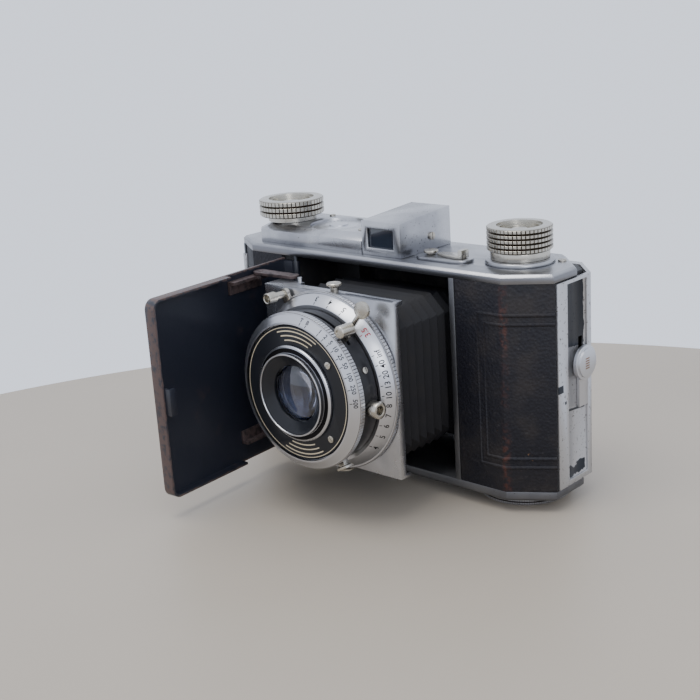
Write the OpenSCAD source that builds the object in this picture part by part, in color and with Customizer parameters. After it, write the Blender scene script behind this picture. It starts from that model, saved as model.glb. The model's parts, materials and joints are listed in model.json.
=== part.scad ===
// Folding bellows camera for 35 mm film, front door open and lens run out to infinity.
// Origin: mouth of the tripod socket. +X to the viewer's right, -Y out of the lens, +Z up.
// Inside the modules, x = 0 is the middle of the body; at_socket() moves it to the origin.

/* [Body] */
// Width of the body over its two end faces
body_w = 121; // [119:1:150]
// Plan depth from the front face to the lens-side edge of the back cover
front_y = -17.5; // [-20:0.5:-17]
// Outer face of the back cover
back_y = 17; // [16.5:0.5:22]
// Run of each front corner's chamfer along the width
corner_x = 12; // [8:0.5:14]
// Run of each front corner's chamfer along the depth
corner_y = 7.5; // [5:0.5:9]
// Height of the leather-covered wall
wall_h = 60.3; // [58:0.1:72]
// Thickness of the bottom plate
base_h = 3.9; // [3:0.1:6]
// Thickness of the top plate
top_h = 2.5; // [2:0.1:4]
// Wall thickness of the body casting
wall = 1.5; // [1.2:0.1:2]
// Thickness of each leather skin
leather = 0.5; // [0.4:0.1:0.8]

/* [Tripod foot] */
// Distance from the middle of the body to the socket
foot_x = 43; // [38:0.5:47]
// Radius of the knurled foot
foot_r = 13.5; // [10:0.5:14]
// Height of the foot below the bottom plate
foot_h = 2.3; // [1.5:0.1:4]
// Wall radius of the socket, standing for a 1/4 inch thread
socket_r = 3.175; // [2.5:0.025:5]
// Depth of the socket
socket_l = 5.5; // [4:0.1:6]

/* [Lens] */
// Lens axis from the middle of the body
lens_x = 4; // [2:0.5:4.5]
// Front face of the lens board
board_y = -39.3; // [-44:0.1:-37]
// Width of the lens board
board_w = 49.2; // [47:0.2:50]
// Height of the lens board
board_h = 51; // [50:0.2:52]
// Sheet thickness of the lens board
board_t = 1.2; // [1:0.1:1.5]
// Radius of the distance ring
focus_r = 26.3; // [24:0.1:26.5]
// Radius of the shutter case
case_r = 22; // [20:0.1:22.2]
// Radius of the speed ring
speed_r = 22.8; // [21:0.1:23]
// Radius of the knurled front ring
front_r = 13.9; // [12:0.1:15]
// Radius of the front glass
glass_r = 8; // [6:0.1:8.4]
// Radius of the sliding lens tube
tube_r = 13.5; // [12:0.1:14]
// Radial clearance of turning and sliding fits
fit = 0.05; // [0.02:0.01:0.09]
// Gap between parts that pass each other
gap = 0.3; // [0.2:0.05:0.4]

/* [Door] */
// Angle that the open door makes with its closed place
door_open = 86; // [80:1:95]
// Length of the door from its hinge axis
door_l = 60; // [58:0.5:60]
// Hinge axis from the middle of the body
hinge_x = -30.2; // [-30.5:0.1:-29.5]
// Distance from the hinge axis to the door's inner face
door_gap = 3.3; // [2.9:0.1:3.4]
// Sheet thickness of the door
door_t = 0.9; // [0.8:0.1:1.2]

/* [Finder and knobs] */
// Width of the finder housing
finder_w = 15; // [13:0.5:17]
// Height of the finder housing at its front
finder_h = 10.3; // [8:0.1:12]
// Extra height of the finder housing at its back
finder_rise = 1.5; // [0:0.1:3]
// Radius of the wind knob
wind_r = 10.4; // [9:0.1:11]
// Radius of the rewind knob
rewind_r = 9.3; // [8.5:0.1:10]
// Height of the counter housing above the top plate
counter_h = 5.7; // [5:0.1:7]
// Radius of the counter dial
dial_r = 8.7; // [7:0.1:8.8]
// Film width
film_w = 35; // [35:1:35]
// Picture width
frame_w = 36; // [24:1:36]
// Picture height
frame_h = 24; // [18:1:24]

/* [Hidden] */
$fn = 72;

// Levels, from the table up
base_z = foot_h;
wall_z = base_z + base_h;
top_z = wall_z + wall_h;
deck_z = top_z + top_h;
lens_z = wall_z + wall_h / 2 + 1.9;
half_w = body_w / 2;
cap = 0.3;
// Well that the folded lens lies in
well_x0 = hinge_x - 0.9;
well_x1 = lens_x + focus_r + gap;
web = 0.6;
// Film plane and what lies behind it
film_y = back_y - 4.6;
gate_t = 2;
gate_y = film_y - gate_t;
cover_t = 1;
cover_x = half_w + 0.4;
cover_front_y = front_y + corner_y + 1.2;
cover_z0 = wall_z + 0.2;
cover_z1 = top_z - 0.4;
cover_bend_x = 8.6;
cover_bend_y = 9.2;
body_end_x = cover_x - cover_t - 1.8;
body_end_c = 4.4;
plate_t = 1.1;
// Chambers
wind_x = -43.5;
wind_y = -3.4;
rewind_x = foot_x + 0.2;
rewind_y = -0.5;
spool_r = 9.6;
sprocket_x = hinge_x + 3.9;
sprocket_r = 4;
sprocket_y = film_y - 0.2 - sprocket_r;
// Shafts
shaft_r = 2;
rewind_shaft_r = 2.2;
// Finder
finder_x0 = lens_x - 8.2;
finder_y0 = front_y + 3.5;
finder_l = 23.7;
finder_t = 0.9;
window_w = 10;
window_h = 5.7;
// Counter housing
counter_x0 = -half_w + 10;
counter_x1 = finder_x0 - gap;
counter_y0 = finder_y0;
counter_y1 = 11;
counter_top = deck_z + counter_h;
counter_bevel = 3;
counter_bevel_z = 1.8;
dial_x = -24;
dial_y = -2.5;
dial_t = 0.8;
// Knobs
knob_gap = 1.8;
wind_h = 5.3;
rewind_h = 6.9;
collar_h = 2.4;
boss_h = 1.3;
boss_r = rewind_r + 0.6;
collar_r = rewind_r - 0.9;
wind_z = counter_top + knob_gap;
rewind_z = deck_z + boss_h + collar_h;
knurl_rows = 3;
// Rewind lock plate, between the finder and the rewind knob
lock_x0 = finder_x0 + finder_w + 2.2;
lock_x1 = rewind_x - boss_r - 1.6;
lock_y = -8;
lock_w = 8.5;
lock_t = 0.9;
lock_stem_r = 1.2;
// Door
hinge_y = front_y + 1;
door_z0 = wall_z + gap + 0.1;
door_z1 = top_z - gap - cap;
rim_h = 2.7;
rim_t = 0.8;
knuckle_r = 1.2;
hinge_pin_r = 0.6;
// Lens board
board_z0 = lens_z - board_h / 2;
board_z1 = lens_z + board_h / 2;
board_x0 = lens_x - board_w / 2;
board_x1 = lens_x + board_w / 2;
flange = 4.1;
ear = 2.5;
ear_w = 10;
button_x = lens_x + 1.1;
button_y = board_y + flange - 1.6;
button_h = 2.6;
button_r = 2.2;
stem_r = 1.2;
// Struts, on a pivot that rides on the door
strut_t = 0.9;
strut_at = 15.5;
strut_in = 2.6;
strut_w = 4.4;
strut_pin_r = 0.8;
tab_t = 1;
bracket_l = 12;
strut_l = 13;
strut_a = 3;
strut_z0 = board_z1 + gap;
strut_z1 = strut_z0 + strut_t;
// Shutter, from the board to the front
focus_y1 = board_y - 0.2;
focus_rim_t = 1.5;
focus_y0 = board_y - 4.9;
case_y1 = focus_y0 - gap;
case_y0 = case_y1 - 5.5;
speed_y1 = case_y0 - 0.15;
speed_y0 = case_y0 - 3.9;
speed_rim_t = 2.1;
hub_r = 18.5;
face_r = 19.5;
face_y0 = speed_y0 + gap;
face_t = 1.4;
cell_y1 = face_y0;
cell_rim_y = face_y0 - 1.4;
cell_y0 = face_y0 - 2.8;
cell_r = 11.9;
bore_r = 9.4;
release_socket_y = case_y0 + 2.7;
cell_tube_r = bore_r - 0.3;
chamber_r = 18;
blade_y = case_y1 - 2.6;
lever_y = case_y1 - 3.4;
slot_r = 18;
cock_turn = 35;
tube_l = 9.5;
tube_y1 = case_y1 + tube_l;
tube_bore = tube_r - 2;
rear_glass_r = 7.6;
grip_a = 122.6;
grip_r = 27.25;
grip_knob_r = 1.8;
cock_a = 50;
cock_r = 25.4;
release_a = 52;
release_r = 31;
release_y = case_y1 - 0.9;
iris_a = -62;
// Bellows
folds = 7;
bellows_y0 = board_y + board_t + 0.2;
bellows_y1 = gate_y - 0.2;
bellows_hw = 25.6;
bellows_hh = 23;
bellows_rear_hw = 22.6;
bellows_rear_hh = 18.5;
fold_depth = 3.6;
bellows_c = 5;
// Latch on the right end
latch_y = 3.2;
latch_z = lens_z + 3;
latch_r = 5;
latch_l = 12.8;
panel_y0 = -4;
panel_y1 = 5.6;
panel_in = 0.6;
cover_hinge_x = -half_w + 0.75;
cover_hinge_y = cover_front_y - 1.4;
cover_knuckle_r = 1;
cover_pin_r = 0.5;

module at_socket() {
    translate([-foot_x, 0, 0]) children();
}

// A straight round bar along +Y from y0 to y1
module bar_y(x, z, y0, y1, r) {
    translate([x, y0, z]) rotate([-90, 0, 0]) cylinder(h = y1 - y0, r = r);
}

// A ring or disc turned about the lens axis: points are [radius, y]
module turned(points) {
    translate([lens_x, 0, lens_z]) rotate([-90, 0, 0]) rotate_extrude($fn = 96) polygon(points);
}

// The same over the angles a0 to a1, seen from the front
module turned_sector(points, a0, a1) {
    translate([lens_x, 0, lens_z]) rotate([-90, 0, 0]) rotate([0, 0, -a1])
        rotate_extrude(angle = a1 - a0, $fn = 96) polygon(points);
}

// Places children, drawn along +X from the lens axis, at an angle seen from the front
module around_lens(a, y) {
    translate([lens_x, y, lens_z]) rotate([0, -a, 0]) children();
}

// Half plan of the body, front corners chamfered, back corners chamfered
module body_plan(inset, rear, rear_x, rear_y) {
    w = half_w - inset;
    f = front_y + inset;
    polygon([[-w, rear - rear_y], [-w + rear_x, rear], [w - rear_x, rear], [w, rear - rear_y],
        [w, front_y + corner_y + inset * 0.4], [w - corner_x + inset * 0.2, f],
        [-w + corner_x - inset * 0.2, f], [-w, front_y + corner_y + inset * 0.4]]);
}

module box(x0, x1, y0, y1, z0, z1) {
    translate([x0, y0, z0]) cube([x1 - x0, y1 - y0, z1 - z0]);
}

module post(x, y, z0, z1, r) {
    translate([x, y, z0]) cylinder(h = z1 - z0, r = r);
}

// ---- Body ----

module casting_plan(inset) {
    e = body_end_x - inset;
    y_front = front_y + leather + inset;
    w = half_w - leather - inset;
    c = body_end_c;
    polygon([[-e, film_y - c], [-e + c, film_y], [e - c, film_y], [e, film_y - c], [e, cover_front_y - 0.4],
        [w, cover_front_y - 0.4], [w, front_y + corner_y + 0.6],
        [w - corner_x + 0.4, y_front], [-w + corner_x - 0.4, y_front],
        [-w, front_y + corner_y + 0.6], [-w, cover_front_y - 0.4], [-e, cover_front_y - 0.4]]);
}

module body_frame() at_socket() color("dimgray") {
    z0 = wall_z;
    z1 = top_z;
    difference() {
        translate([0, 0, z0]) linear_extrude(z1 - z0) casting_plan(0);
        // Well between the chambers, open at the front, and the gate's seat behind it
        box(well_x0, well_x1, front_y - 1, film_y + 1, z0 - 1, z1 + 1);
        // Film chambers, open at the back
        intersection() {
            translate([0, 0, z0 + 1]) linear_extrude(z1 - z0 - 2) casting_plan(wall);
            union() {
                box(-half_w, well_x0 - web, front_y, film_y + 1, z0, z1);
                box(well_x1 + web, half_w, front_y, film_y + 1, z0, z1);
            }
        }
        for (side = [-1, 1])
            mirror([side < 0 ? 1 : 0, 0, 0])
                box((side < 0 ? -well_x0 : well_x1) + web, body_end_x - body_end_c - 0.6,
                    film_y - 3, film_y + 1, z0 + 1, z1 - 1);
        // Bearings of the wind shaft and of the rewind shaft
        post(wind_x, wind_y, z1 - 2, z1 + 1, shaft_r + fit);
        post(rewind_x, rewind_y, z1 - 2, z1 + 1, rewind_shaft_r + fit);
        // Spigot of the tripod foot
        post(foot_x, 0, z0 - 1, z0 + 2, foot_r * 0.5);
        // Clearance for the hinges' knuckles
        post(cover_hinge_x, cover_hinge_y, z0 - 1, z1 + 1, cover_knuckle_r + 0.25);
        box(hinge_x - door_gap - door_t - leather - 0.3, well_x0 + 1,
            front_y - 1, hinge_y + 0.4, z0 - 1, z1 + 1);
        post(hinge_x, hinge_y, z0 - 1, z1 + 1, knuckle_r + gap);
    }
}

module gate_rail(z, h) {
    box(lens_x - 24, lens_x + 24, film_y - 0.01, film_y + 0.25, z, z + h);
}

module film_gate() at_socket() color("black") {
    z0 = wall_z + gap;
    z1 = top_z - gap;
    ap_z0 = lens_z - frame_h / 2;
    pocket_x1 = sprocket_x + sprocket_r + 0.15;
    pocket_y0 = sprocket_y - sprocket_r - 0.5;
    difference() {
        union() {
            box(well_x0, well_x1, gate_y, film_y, z0, z1);
            box(well_x0, pocket_x1 + web, pocket_y0 - web, film_y, z0, z1);
            gate_rail(ap_z0 - 2.2, 1.2);
            gate_rail(ap_z0 + frame_h + 1, 1.2);
        }
        // Picture opening
        box(lens_x - frame_w / 2, lens_x + frame_w / 2, gate_y - 1, film_y + 1, ap_z0, ap_z0 + frame_h);
        // Pocket for the sprocket shaft, with its end bearings
        box(well_x0 + web, pocket_x1, pocket_y0, film_y + 1, z0 + 2, z1 - 2);
        post(sprocket_x, sprocket_y, z0 - 1, z1 + 1, shaft_r + fit);
    }
}

module chamfered_plate(z0, z1, chamfer_z, inset, rear, rear_x, rear_y) {
    top_chamfer = chamfer_z > 0;
    flat0 = top_chamfer ? z0 : z0 - chamfer_z;
    flat1 = top_chamfer ? z1 - chamfer_z : z1;
    hull() {
        translate([0, 0, flat0]) linear_extrude(flat1 - flat0) body_plan(0, rear, rear_x, rear_y);
        translate([0, 0, z0]) linear_extrude(z1 - z0) body_plan(inset, rear - inset, rear_x, rear_y);
    }
}

module top_plate() at_socket() color("silver") difference() {
    chamfered_plate(top_z, deck_z, 0.8, 0.8, 13, 11, 11.5);
    // Hollow underside for the gears, one pocket over each chamber
    box(-half_w + 6, well_x0 - 2, front_y + 9, 9, top_z - 1, deck_z - 1);
    box(well_x1 + 2, half_w - 12, front_y + 9, 9, top_z - 1, deck_z - 1);
    post(wind_x, wind_y, top_z, deck_z + 1, shaft_r + fit);
    post(dial_x, dial_y, top_z, deck_z + 1, 1 + fit);
    post(rewind_x, rewind_y, top_z, deck_z + 1, rewind_shaft_r + fit);
    post(lock_x0 + lock_w / 2, lock_y, deck_z - 0.8, deck_z + 1, lock_stem_r + fit);
}

module bottom_plate() at_socket() color("silver") difference() {
    chamfered_plate(base_z, wall_z, -1.8, 1.6, 14.5, 10, 10.5);
    post(foot_x, 0, base_z - 1, wall_z + 1, foot_r * 0.5);
}

module tripod_foot() at_socket() color("silver") difference() {
    union() {
        translate([foot_x, 0, 0]) rotate_extrude() polygon([[0, 0], [foot_r - 0.5, 0], [foot_r, 0.35],
            [foot_r, 1.05], [foot_r - 0.35, 1.2], [foot_r, 1.35], [foot_r, foot_h - 0.3],
            [foot_r - 0.4, foot_h], [0, foot_h]]);
        post(foot_x, 0, foot_h - 0.1, wall_z + 1.6, foot_r * 0.5 - 0.02);
    }
    post(foot_x, 0, -1, socket_l, socket_r);
}

module support_stud() at_socket() color("silver") translate([-foot_x, 0, 0])
    rotate_extrude() polygon([[0, 0], [3.2, 0], [3.8, 0.6], [3.8, base_z], [0, base_z]]);

// Leather on one front wall: flat panel, then the chamfered corner
module front_leather(side) {
    inner_x = side > 0 ? well_x1 + 2.1 : -hinge_x + door_gap + door_t + leather + 0.4;
    w = half_w - leather;
    mirror([side > 0 ? 0 : 1, 0, 0]) difference() {
        translate([0, 0, wall_z]) linear_extrude(wall_h) polygon([
            [inner_x, front_y], [half_w - corner_x, front_y], [half_w, front_y + corner_y + 0.4],
            [half_w, cover_front_y - 0.4], [w, cover_front_y - 0.4], [w, front_y + corner_y + 0.6],
            [w - corner_x + 0.4, front_y + leather], [inner_x, front_y + leather]]);
        if (side < 0)
            post(-cover_hinge_x, cover_hinge_y, 0, deck_z, cover_knuckle_r + 0.9);
    }
}

module front_leathers() at_socket() color([0.09, 0.09, 0.1]) {
    front_leather(1);
    front_leather(-1);
}

module opening_trim() at_socket() color("gray")
    box(well_x1 + 0.2, well_x1 + 2, front_y - 0.25, front_y + leather, wall_z, top_z);

module counter_shape(inset) {
    x0 = counter_x0 + inset;
    x1 = counter_x1;
    y0 = counter_y0 + inset;
    y1 = counter_y1 - inset;
    polygon([[x0 + 3, y0], [x1, y0], [x1, y1], [x0 + 6, y1], [x0, y1 - 6], [x0, y0 + 3]]);
}

module counter_housing() at_socket() color("silver") {
    floor_z = counter_top - dial_t - 1;
    difference() {
        hull() {
            translate([0, 0, deck_z]) linear_extrude(counter_h - counter_bevel_z) counter_shape(0);
            translate([0, 0, deck_z]) linear_extrude(counter_h) counter_shape(counter_bevel);
        }
        // Hollow inside
        translate([0, 0, deck_z - 1]) linear_extrude(floor_z - deck_z) counter_shape(counter_bevel + 1);
        // Recess of the dial
        post(dial_x, dial_y, counter_top - dial_t - 0.3, counter_top + 1, dial_r + gap);
        post(dial_x, dial_y, deck_z - 1, counter_top + 1, 1 + fit);
        post(wind_x, wind_y, deck_z - 1, counter_top + 1, shaft_r + fit);
    }
}

// Side outline of the finder: higher at the back
module finder_side(inset) {
    polygon([[inset, -1 + inset * 2], [inset, finder_h - inset],
        [finder_l - inset, finder_h + finder_rise - inset],
        [finder_l - inset, -1 + inset * 2]]);
}

module finder_solid(inset) {
    translate([finder_x0 + inset, finder_y0, deck_z]) rotate([90, 0, 90])
        linear_extrude(finder_w - 2 * inset) finder_side(inset);
}

module finder_housing() at_socket() color("silver") difference() {
    intersection() {
        finder_solid(0);
        box(-half_w, half_w, finder_y0, finder_y0 + finder_l, deck_z, counter_top + 20);
    }
    // Hollow, front window and eyepiece
    difference() {
        finder_solid(finder_t);
        box(-half_w, half_w, front_y, back_y, 0, deck_z + finder_t);
    }
    box(lens_x - window_w / 2 - 1, lens_x + window_w / 2 - 1, finder_y0 - 1, finder_y0 + 2,
        deck_z + 2.3, deck_z + 2.3 + window_h);
    translate([lens_x - 1, finder_y0 + finder_l - 3, deck_z + 6])
        rotate([-90, 0, 0]) cylinder(h = 5, r = 2.6);
}

module finder_lenses() at_socket() color([0.4, 0.5, 0.6, 0.5]) {
    box(lens_x - window_w / 2 - 1.8, lens_x + window_w / 2 - 0.2,
        finder_y0 + finder_t + 0.05, finder_y0 + 2.2,
        deck_z + 1.3, deck_z + 2.3 + window_h + 0.9);
    bar_y(lens_x - 1, deck_z + 6, finder_y0 + finder_l - 2.6, finder_y0 + finder_l - finder_t - 0.05, 3.2);
}

module rewind_boss() at_socket() color("silver") difference() {
    translate([rewind_x, rewind_y, deck_z]) rotate_extrude() polygon([[0, 0], [boss_r, 0],
        [boss_r, boss_h - 0.5], [boss_r - 0.5, boss_h], [0, boss_h]]);
    post(rewind_x, rewind_y, deck_z - 1, deck_z + boss_h + 1, rewind_shaft_r + fit);
}

module top_screw(x, y, z, r) {
    difference() {
        post(x, y, z, z + 0.45, r);
        box(x - r, x + r, y - 0.15, y + 0.15, z + 0.2, z + 1);
    }
}

module top_screws() at_socket() color("silver") {
    top_screw(counter_x1 - 5, counter_y0 + 6, counter_top, 1);
    top_screw(counter_x0 + 16, counter_y1 - 5, counter_top, 1);
    top_screw(half_w - 7, 5, deck_z, 1.2);
    top_screw(well_x1 - 3, 8.5, deck_z, 1.2);
    // Side screw of the finder
    translate([finder_x0 + finder_w, finder_y0 + 14.4, deck_z + 4.2]) rotate([0, 90, 0]) difference() {
        cylinder(h = 0.5, r = 1.2);
        translate([-1.5, -0.15, 0.25]) cube([3, 0.3, 1]);
    }
}

module door_hinge_pin() at_socket() color("silver")
    post(hinge_x, hinge_y, wall_z, top_z, hinge_pin_r);

module cover_hinge_pin() at_socket() color("silver")
    post(cover_hinge_x, cover_hinge_y, wall_z, top_z, cover_pin_r);

// ---- Door and struts ----

// Puts what is drawn on the closed door, with its hinge axis at the origin, in the open place
module on_door() {
    translate([hinge_x, hinge_y, 0]) rotate([0, 0, -door_open]) children();
}

// Outline of the door, its free corners rounded
module door_outline(x0, x1, z0, z1, r) {
    hull() {
        translate([x0, z0]) square([1, z1 - z0]);
        translate([x1 - r, z0 + r]) circle(r = r, $fn = 32);
        translate([x1 - r, z1 - r]) circle(r = r, $fn = 32);
    }
}

module door_slab(x0, x1, z0, z1, y0, y1, r) {
    translate([0, y1, 0]) rotate([90, 0, 0]) linear_extrude(y1 - y0) door_outline(x0, x1, z0, z1, r);
}

module front_door() at_socket() color([0.13, 0.15, 0.2]) on_door() difference() {
    y_in = -door_gap;
    y_out = -door_gap - door_t;
    union() {
        difference() {
            door_slab(knuckle_r, door_l, door_z0, door_z1, y_out, y_in + rim_h, 3);
            door_slab(knuckle_r - 1, door_l - rim_t, door_z0 + rim_t, door_z1 - rim_t,
                y_in, y_in + rim_h + 1, 2.3);
            // The rims are cut away near the hinge for the struts
            box(-1, strut_at + bracket_l + 1, y_in, 3, door_z0 - 1, door_z1 + 1);
        }
        for (z = [door_z0 + 1, (door_z0 + door_z1) / 2 - 6, door_z1 - 13]) {
            post(0, 0, z, z + 12, knuckle_r);
            box(-0.2, knuckle_r + 0.6, y_out, 0, z, z + 12);
        }
    }
    post(0, 0, 0, deck_z, hinge_pin_r + fit);
}

module door_leather() at_socket() color([0.09, 0.09, 0.1]) on_door()
    door_slab(knuckle_r + 1.2, door_l - 1, door_z0 + 1, door_z1 - 1, -door_gap - door_t - leather,
        -door_gap - door_t, 2.2);

// One bracket: a plate on the door's inner face, a tab and the strut's pivot pin
module strut_bracket(upper) {
    tab = upper ? strut_z0 - 0.2 - tab_t : 2 * lens_z - strut_z0 + 0.2;
    pin = upper ? tab : 2 * lens_z - strut_z1 - 0.1;
    box(strut_at - 2, strut_at + bracket_l, -door_gap, -door_gap + 0.8,
        tab - (upper ? 3 : 0), tab + (upper ? tab_t : 4));
    box(strut_at - 2, strut_at + bracket_l, -door_gap, -door_gap + 2.6, tab, tab + tab_t);
    box(strut_at - 2, strut_at + 2, -door_gap, strut_in - door_gap + 1.6, tab, tab + tab_t);
    post(strut_at, strut_in - door_gap, pin, pin + strut_t + tab_t + 0.3, strut_pin_r);
}

module strut_brackets() at_socket() color([0.3, 0.22, 0.2]) on_door() {
    strut_bracket(true);
    strut_bracket(false);
}

module door_catch() at_socket() color("silver") on_door() {
    z = (door_z0 + door_z1) / 2;
    box(door_l - rim_t - 1, door_l - rim_t, -door_gap, rim_h - door_gap + 1.2, z - 4, z + 4);
    box(door_l - rim_t - 2.4, door_l - rim_t, rim_h - door_gap + 1.2, rim_h - door_gap + 2, z - 4, z + 4);
}

// A flat leaf from the pivot on the door to the ear of the lens board
module strut(z) {
    p = strut_pivot();
    translate([p[0], p[1], z]) rotate([0, 0, strut_a]) difference() {
        linear_extrude(strut_t) union() {
            circle(r = strut_w / 2);
            polygon([[0, -strut_w / 2], [strut_l, -strut_w / 2 + 0.5],
                [strut_l, strut_w / 2 - 0.5], [0, strut_w / 2]]);
            translate([strut_l, 0]) circle(r = strut_w / 2 - 0.3);
        }
        translate([0, 0, -1]) cylinder(h = 3, r = strut_pin_r + fit);
    }
}

function strut_pivot() = [
    hinge_x + strut_at * cos(door_open) + (strut_in - door_gap) * sin(door_open),
    hinge_y - strut_at * sin(door_open) + (strut_in - door_gap) * cos(door_open)];

module upper_strut() at_socket() color([0.3, 0.22, 0.2]) strut(strut_z0);

module lower_strut() at_socket() color([0.3, 0.22, 0.2]) strut(2 * lens_z - strut_z1);

// ---- Lens board ----

module lens_board() at_socket() color("silver") {
    y1 = board_y + board_t;
    difference() {
        union() {
            box(board_x0, board_x1, board_y, y1, board_z0, board_z1);
            for (z = [board_z0, board_z1 - board_t])
                difference() {
                    union() {
                        box(board_x0, board_x1, board_y, board_y + flange, z, z + board_t);
                        box(board_x0, board_x0 + ear_w, board_y, board_y + flange + ear, z, z + board_t);
                    }
                    box(button_x + 5, board_x1 - 2, board_y + 2.4, board_y + 3.2, z - 1, z + 2);
                }
            // Folded right edge
            box(board_x1 - 0.6, board_x1, board_y, board_y + 2.4, board_z0, board_z1);
        }
        bar_y(lens_x, lens_z, board_y - 1, y1 + 1, tube_r + fit);
        for (z = [board_z0 - 1, board_z1 - board_t - 1])
            post(button_x, button_y, z, z + board_t + 2, stem_r + fit);
    }
    post(board_x0 + ear_w - 1, board_y + flange + ear - 0.9, board_z1, board_z1 + 1.6, 0.7);
}

// Sprung button: collar, stem and head, drawn upwards from the flange
module fold_button(head_r, head_h) {
    rotate_extrude() polygon([[0, -board_t - 1.4], [stem_r, -board_t - 1.4], [stem_r, 1.3],
        [head_r - 0.3, button_h - head_h], [head_r, button_h - head_h + 0.3], [head_r, button_h - 0.2],
        [head_r - 0.2, button_h], [0, button_h]]);
}

module top_fold_button() at_socket() color("silver")
    translate([button_x, button_y, board_z1]) fold_button(button_r, 0.9);

module bottom_fold_button() at_socket() color("silver")
    translate([button_x, button_y, board_z0]) mirror([0, 0, 1]) fold_button(button_r + 0.4, 0.9);

// Chamfered rectangle about the lens axis
module fold_outline(hw, hh, c) {
    polygon([[-hw + c, -hh], [hw - c, -hh], [hw, -hh + c], [hw, hh - c], [hw - c, hh], [-hw + c, hh],
        [-hw, hh - c], [-hw, -hh + c]]);
}

module fold_ring(y0, y1, hw, hh, c) {
    translate([lens_x, y1, lens_z]) rotate([90, 0, 0]) linear_extrude(y1 - y0) fold_outline(hw, hh, c);
}

module bellows() at_socket() color([0.08, 0.08, 0.09]) {
    pitch = (bellows_y1 - bellows_y0) / (2 * folds + 1);
    difference() {
        union() {
            for (i = [0 : 2 * folds]) {
                s = max(0, (i - folds) / folds);
                hw = bellows_hw + (bellows_rear_hw - bellows_hw) * s - (i % 2 == 0 ? fold_depth * 0.5 : 0);
                hh = bellows_hh + (bellows_rear_hh - bellows_hh) * s - (i % 2 == 0 ? fold_depth * 0.5 : 0);
                fold_ring(bellows_y0 + i * pitch, bellows_y0 + (i + 1) * pitch, hw, hh, bellows_c);
            }
        }
        fold_ring(bellows_y0 + 1, bellows_y1 + 1, frame_w / 2 + 1.5, frame_h / 2 + 2.5, 3);
        bar_y(lens_x, lens_z, bellows_y0 - 1, bellows_y0 + 8, tube_r + 0.5);
    }
}

// ---- Shutter and lens ----

module focus_ring() at_socket() color("silver")
    turned([[tube_r + fit, focus_y1], [focus_r, focus_y1], [focus_r, focus_y1 - focus_rim_t],
        [case_r + 1.2, focus_y0], [tube_r + fit, focus_y0]]);

module focus_grip() at_socket() color("silver") around_lens(grip_a, 0) {
    arm_y1 = focus_y1 - 0.2;
    arm_y0 = arm_y1 - 1.2;
    box(focus_r, grip_r, arm_y0, arm_y1, -1.4, 1.4);
    translate([grip_r + 0.9, arm_y0 - 7, 0]) rotate([-90, 0, 0]) difference() {
        cylinder(h = 8, r = grip_knob_r);
        translate([0, 0, -1]) cylinder(h = 4, r = grip_knob_r - 0.8);
    }
}

module shutter_case() at_socket() color([0.12, 0.12, 0.13]) difference() {
    turned([[bore_r, case_y1], [case_r, case_y1], [case_r, case_y0], [hub_r, case_y0],
        [hub_r, face_y0 + face_t], [bore_r, face_y0 + face_t]]);
    // Chamber of the blades and the iris
    turned([[bore_r - 1, blade_y], [chamber_r, blade_y],
        [chamber_r, blade_y + 1.6], [bore_r - 1, blade_y + 1.6]]);
    // Slot that the cocking lever comes out of
    turned_sector([[slot_r, lever_y - 0.5], [case_r + 1, lever_y - 0.5], [case_r + 1, lever_y + 0.5],
        [slot_r, lever_y + 0.5]], cock_a - 7, cock_a + cock_turn + 7);
    around_lens(0, 0) bar_x(case_r - 2.5, case_r + 1, release_socket_y, -2.3, 2);
}

// A straight round bar along +X, in the lens's own frame
module bar_x(x0, x1, y, z, r) {
    translate([x0, y, z]) rotate([0, 90, 0]) cylinder(h = x1 - x0, r = r);
}

module lens_tube() at_socket() color("darkgray") difference() {
    turned([[tube_bore, case_y1 + 0.01], [tube_r, case_y1 + 0.01], [tube_r, tube_y1], [tube_bore, tube_y1]]);
}

module face_plate() at_socket() color([0.1, 0.1, 0.11])
    turned([[front_r - 1.5, face_y0], [face_r - 0.3, face_y0], [face_r, face_y0 + 0.3],
        [face_r, face_y0 + face_t], [front_r - 1.5, face_y0 + face_t]]);

module front_cell() at_socket() color("silver")
    turned([[cell_tube_r - 0.9, face_y0 + 6], [cell_tube_r - 0.9, face_y0 + 0.6],
        [cell_r - 0.5, cell_y1 - 0.3],
        [cell_r - 0.5, cell_y0], [cell_r, cell_y0], [cell_r, cell_rim_y], [front_r - 0.8, cell_rim_y],
        [front_r, cell_rim_y + 0.5], [front_r, cell_y1 - 0.05], [front_r - 1.6, cell_y1 - 0.05],
        [front_r - 1.6, face_y0 + face_t - 0.1], [cell_tube_r, face_y0 + face_t - 0.1],
        [cell_tube_r, face_y0 + 6]]);

module name_ring() at_socket() color([0.05, 0.05, 0.06])
    turned([[glass_r + 0.2, cell_y0 + 2.2], [cell_r - 0.55, cell_y0 + 0.3], [cell_r - 0.55, cell_y0 + 2],
        [glass_r + 0.2, cell_y0 + 3.1]]);

// A lens from its flat side at y0, bulging by bulge towards the front, or towards the back if dir is 1
module glass(y0, edge, r, bulge, dir) {
    steps = 8;
    ball_r = (r * r + bulge * bulge) / (2 * bulge);
    arc = [for (i = [0 : steps]) let (a = asin(r / ball_r) * (1 - i / steps))
        [ball_r * sin(a), y0 + dir * (edge + ball_r * cos(a) - ball_r + bulge)]];
    turned(concat([[0, y0], [r, y0]], arc));
}

module front_lens() at_socket() color([0.5, 0.6, 0.8, 0.5])
    glass(face_y0 + 3, 2.4, glass_r, 1.4, -1);

module middle_lens() at_socket() color([0.5, 0.6, 0.8, 0.5])
    glass(face_y0 + 5.2, 1, glass_r - 0.2, 0.6, -1);

module rear_lens() at_socket() color([0.5, 0.6, 0.8, 0.5])
    glass(tube_y1 - 5.5, 3, rear_glass_r, 1, 1);

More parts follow.
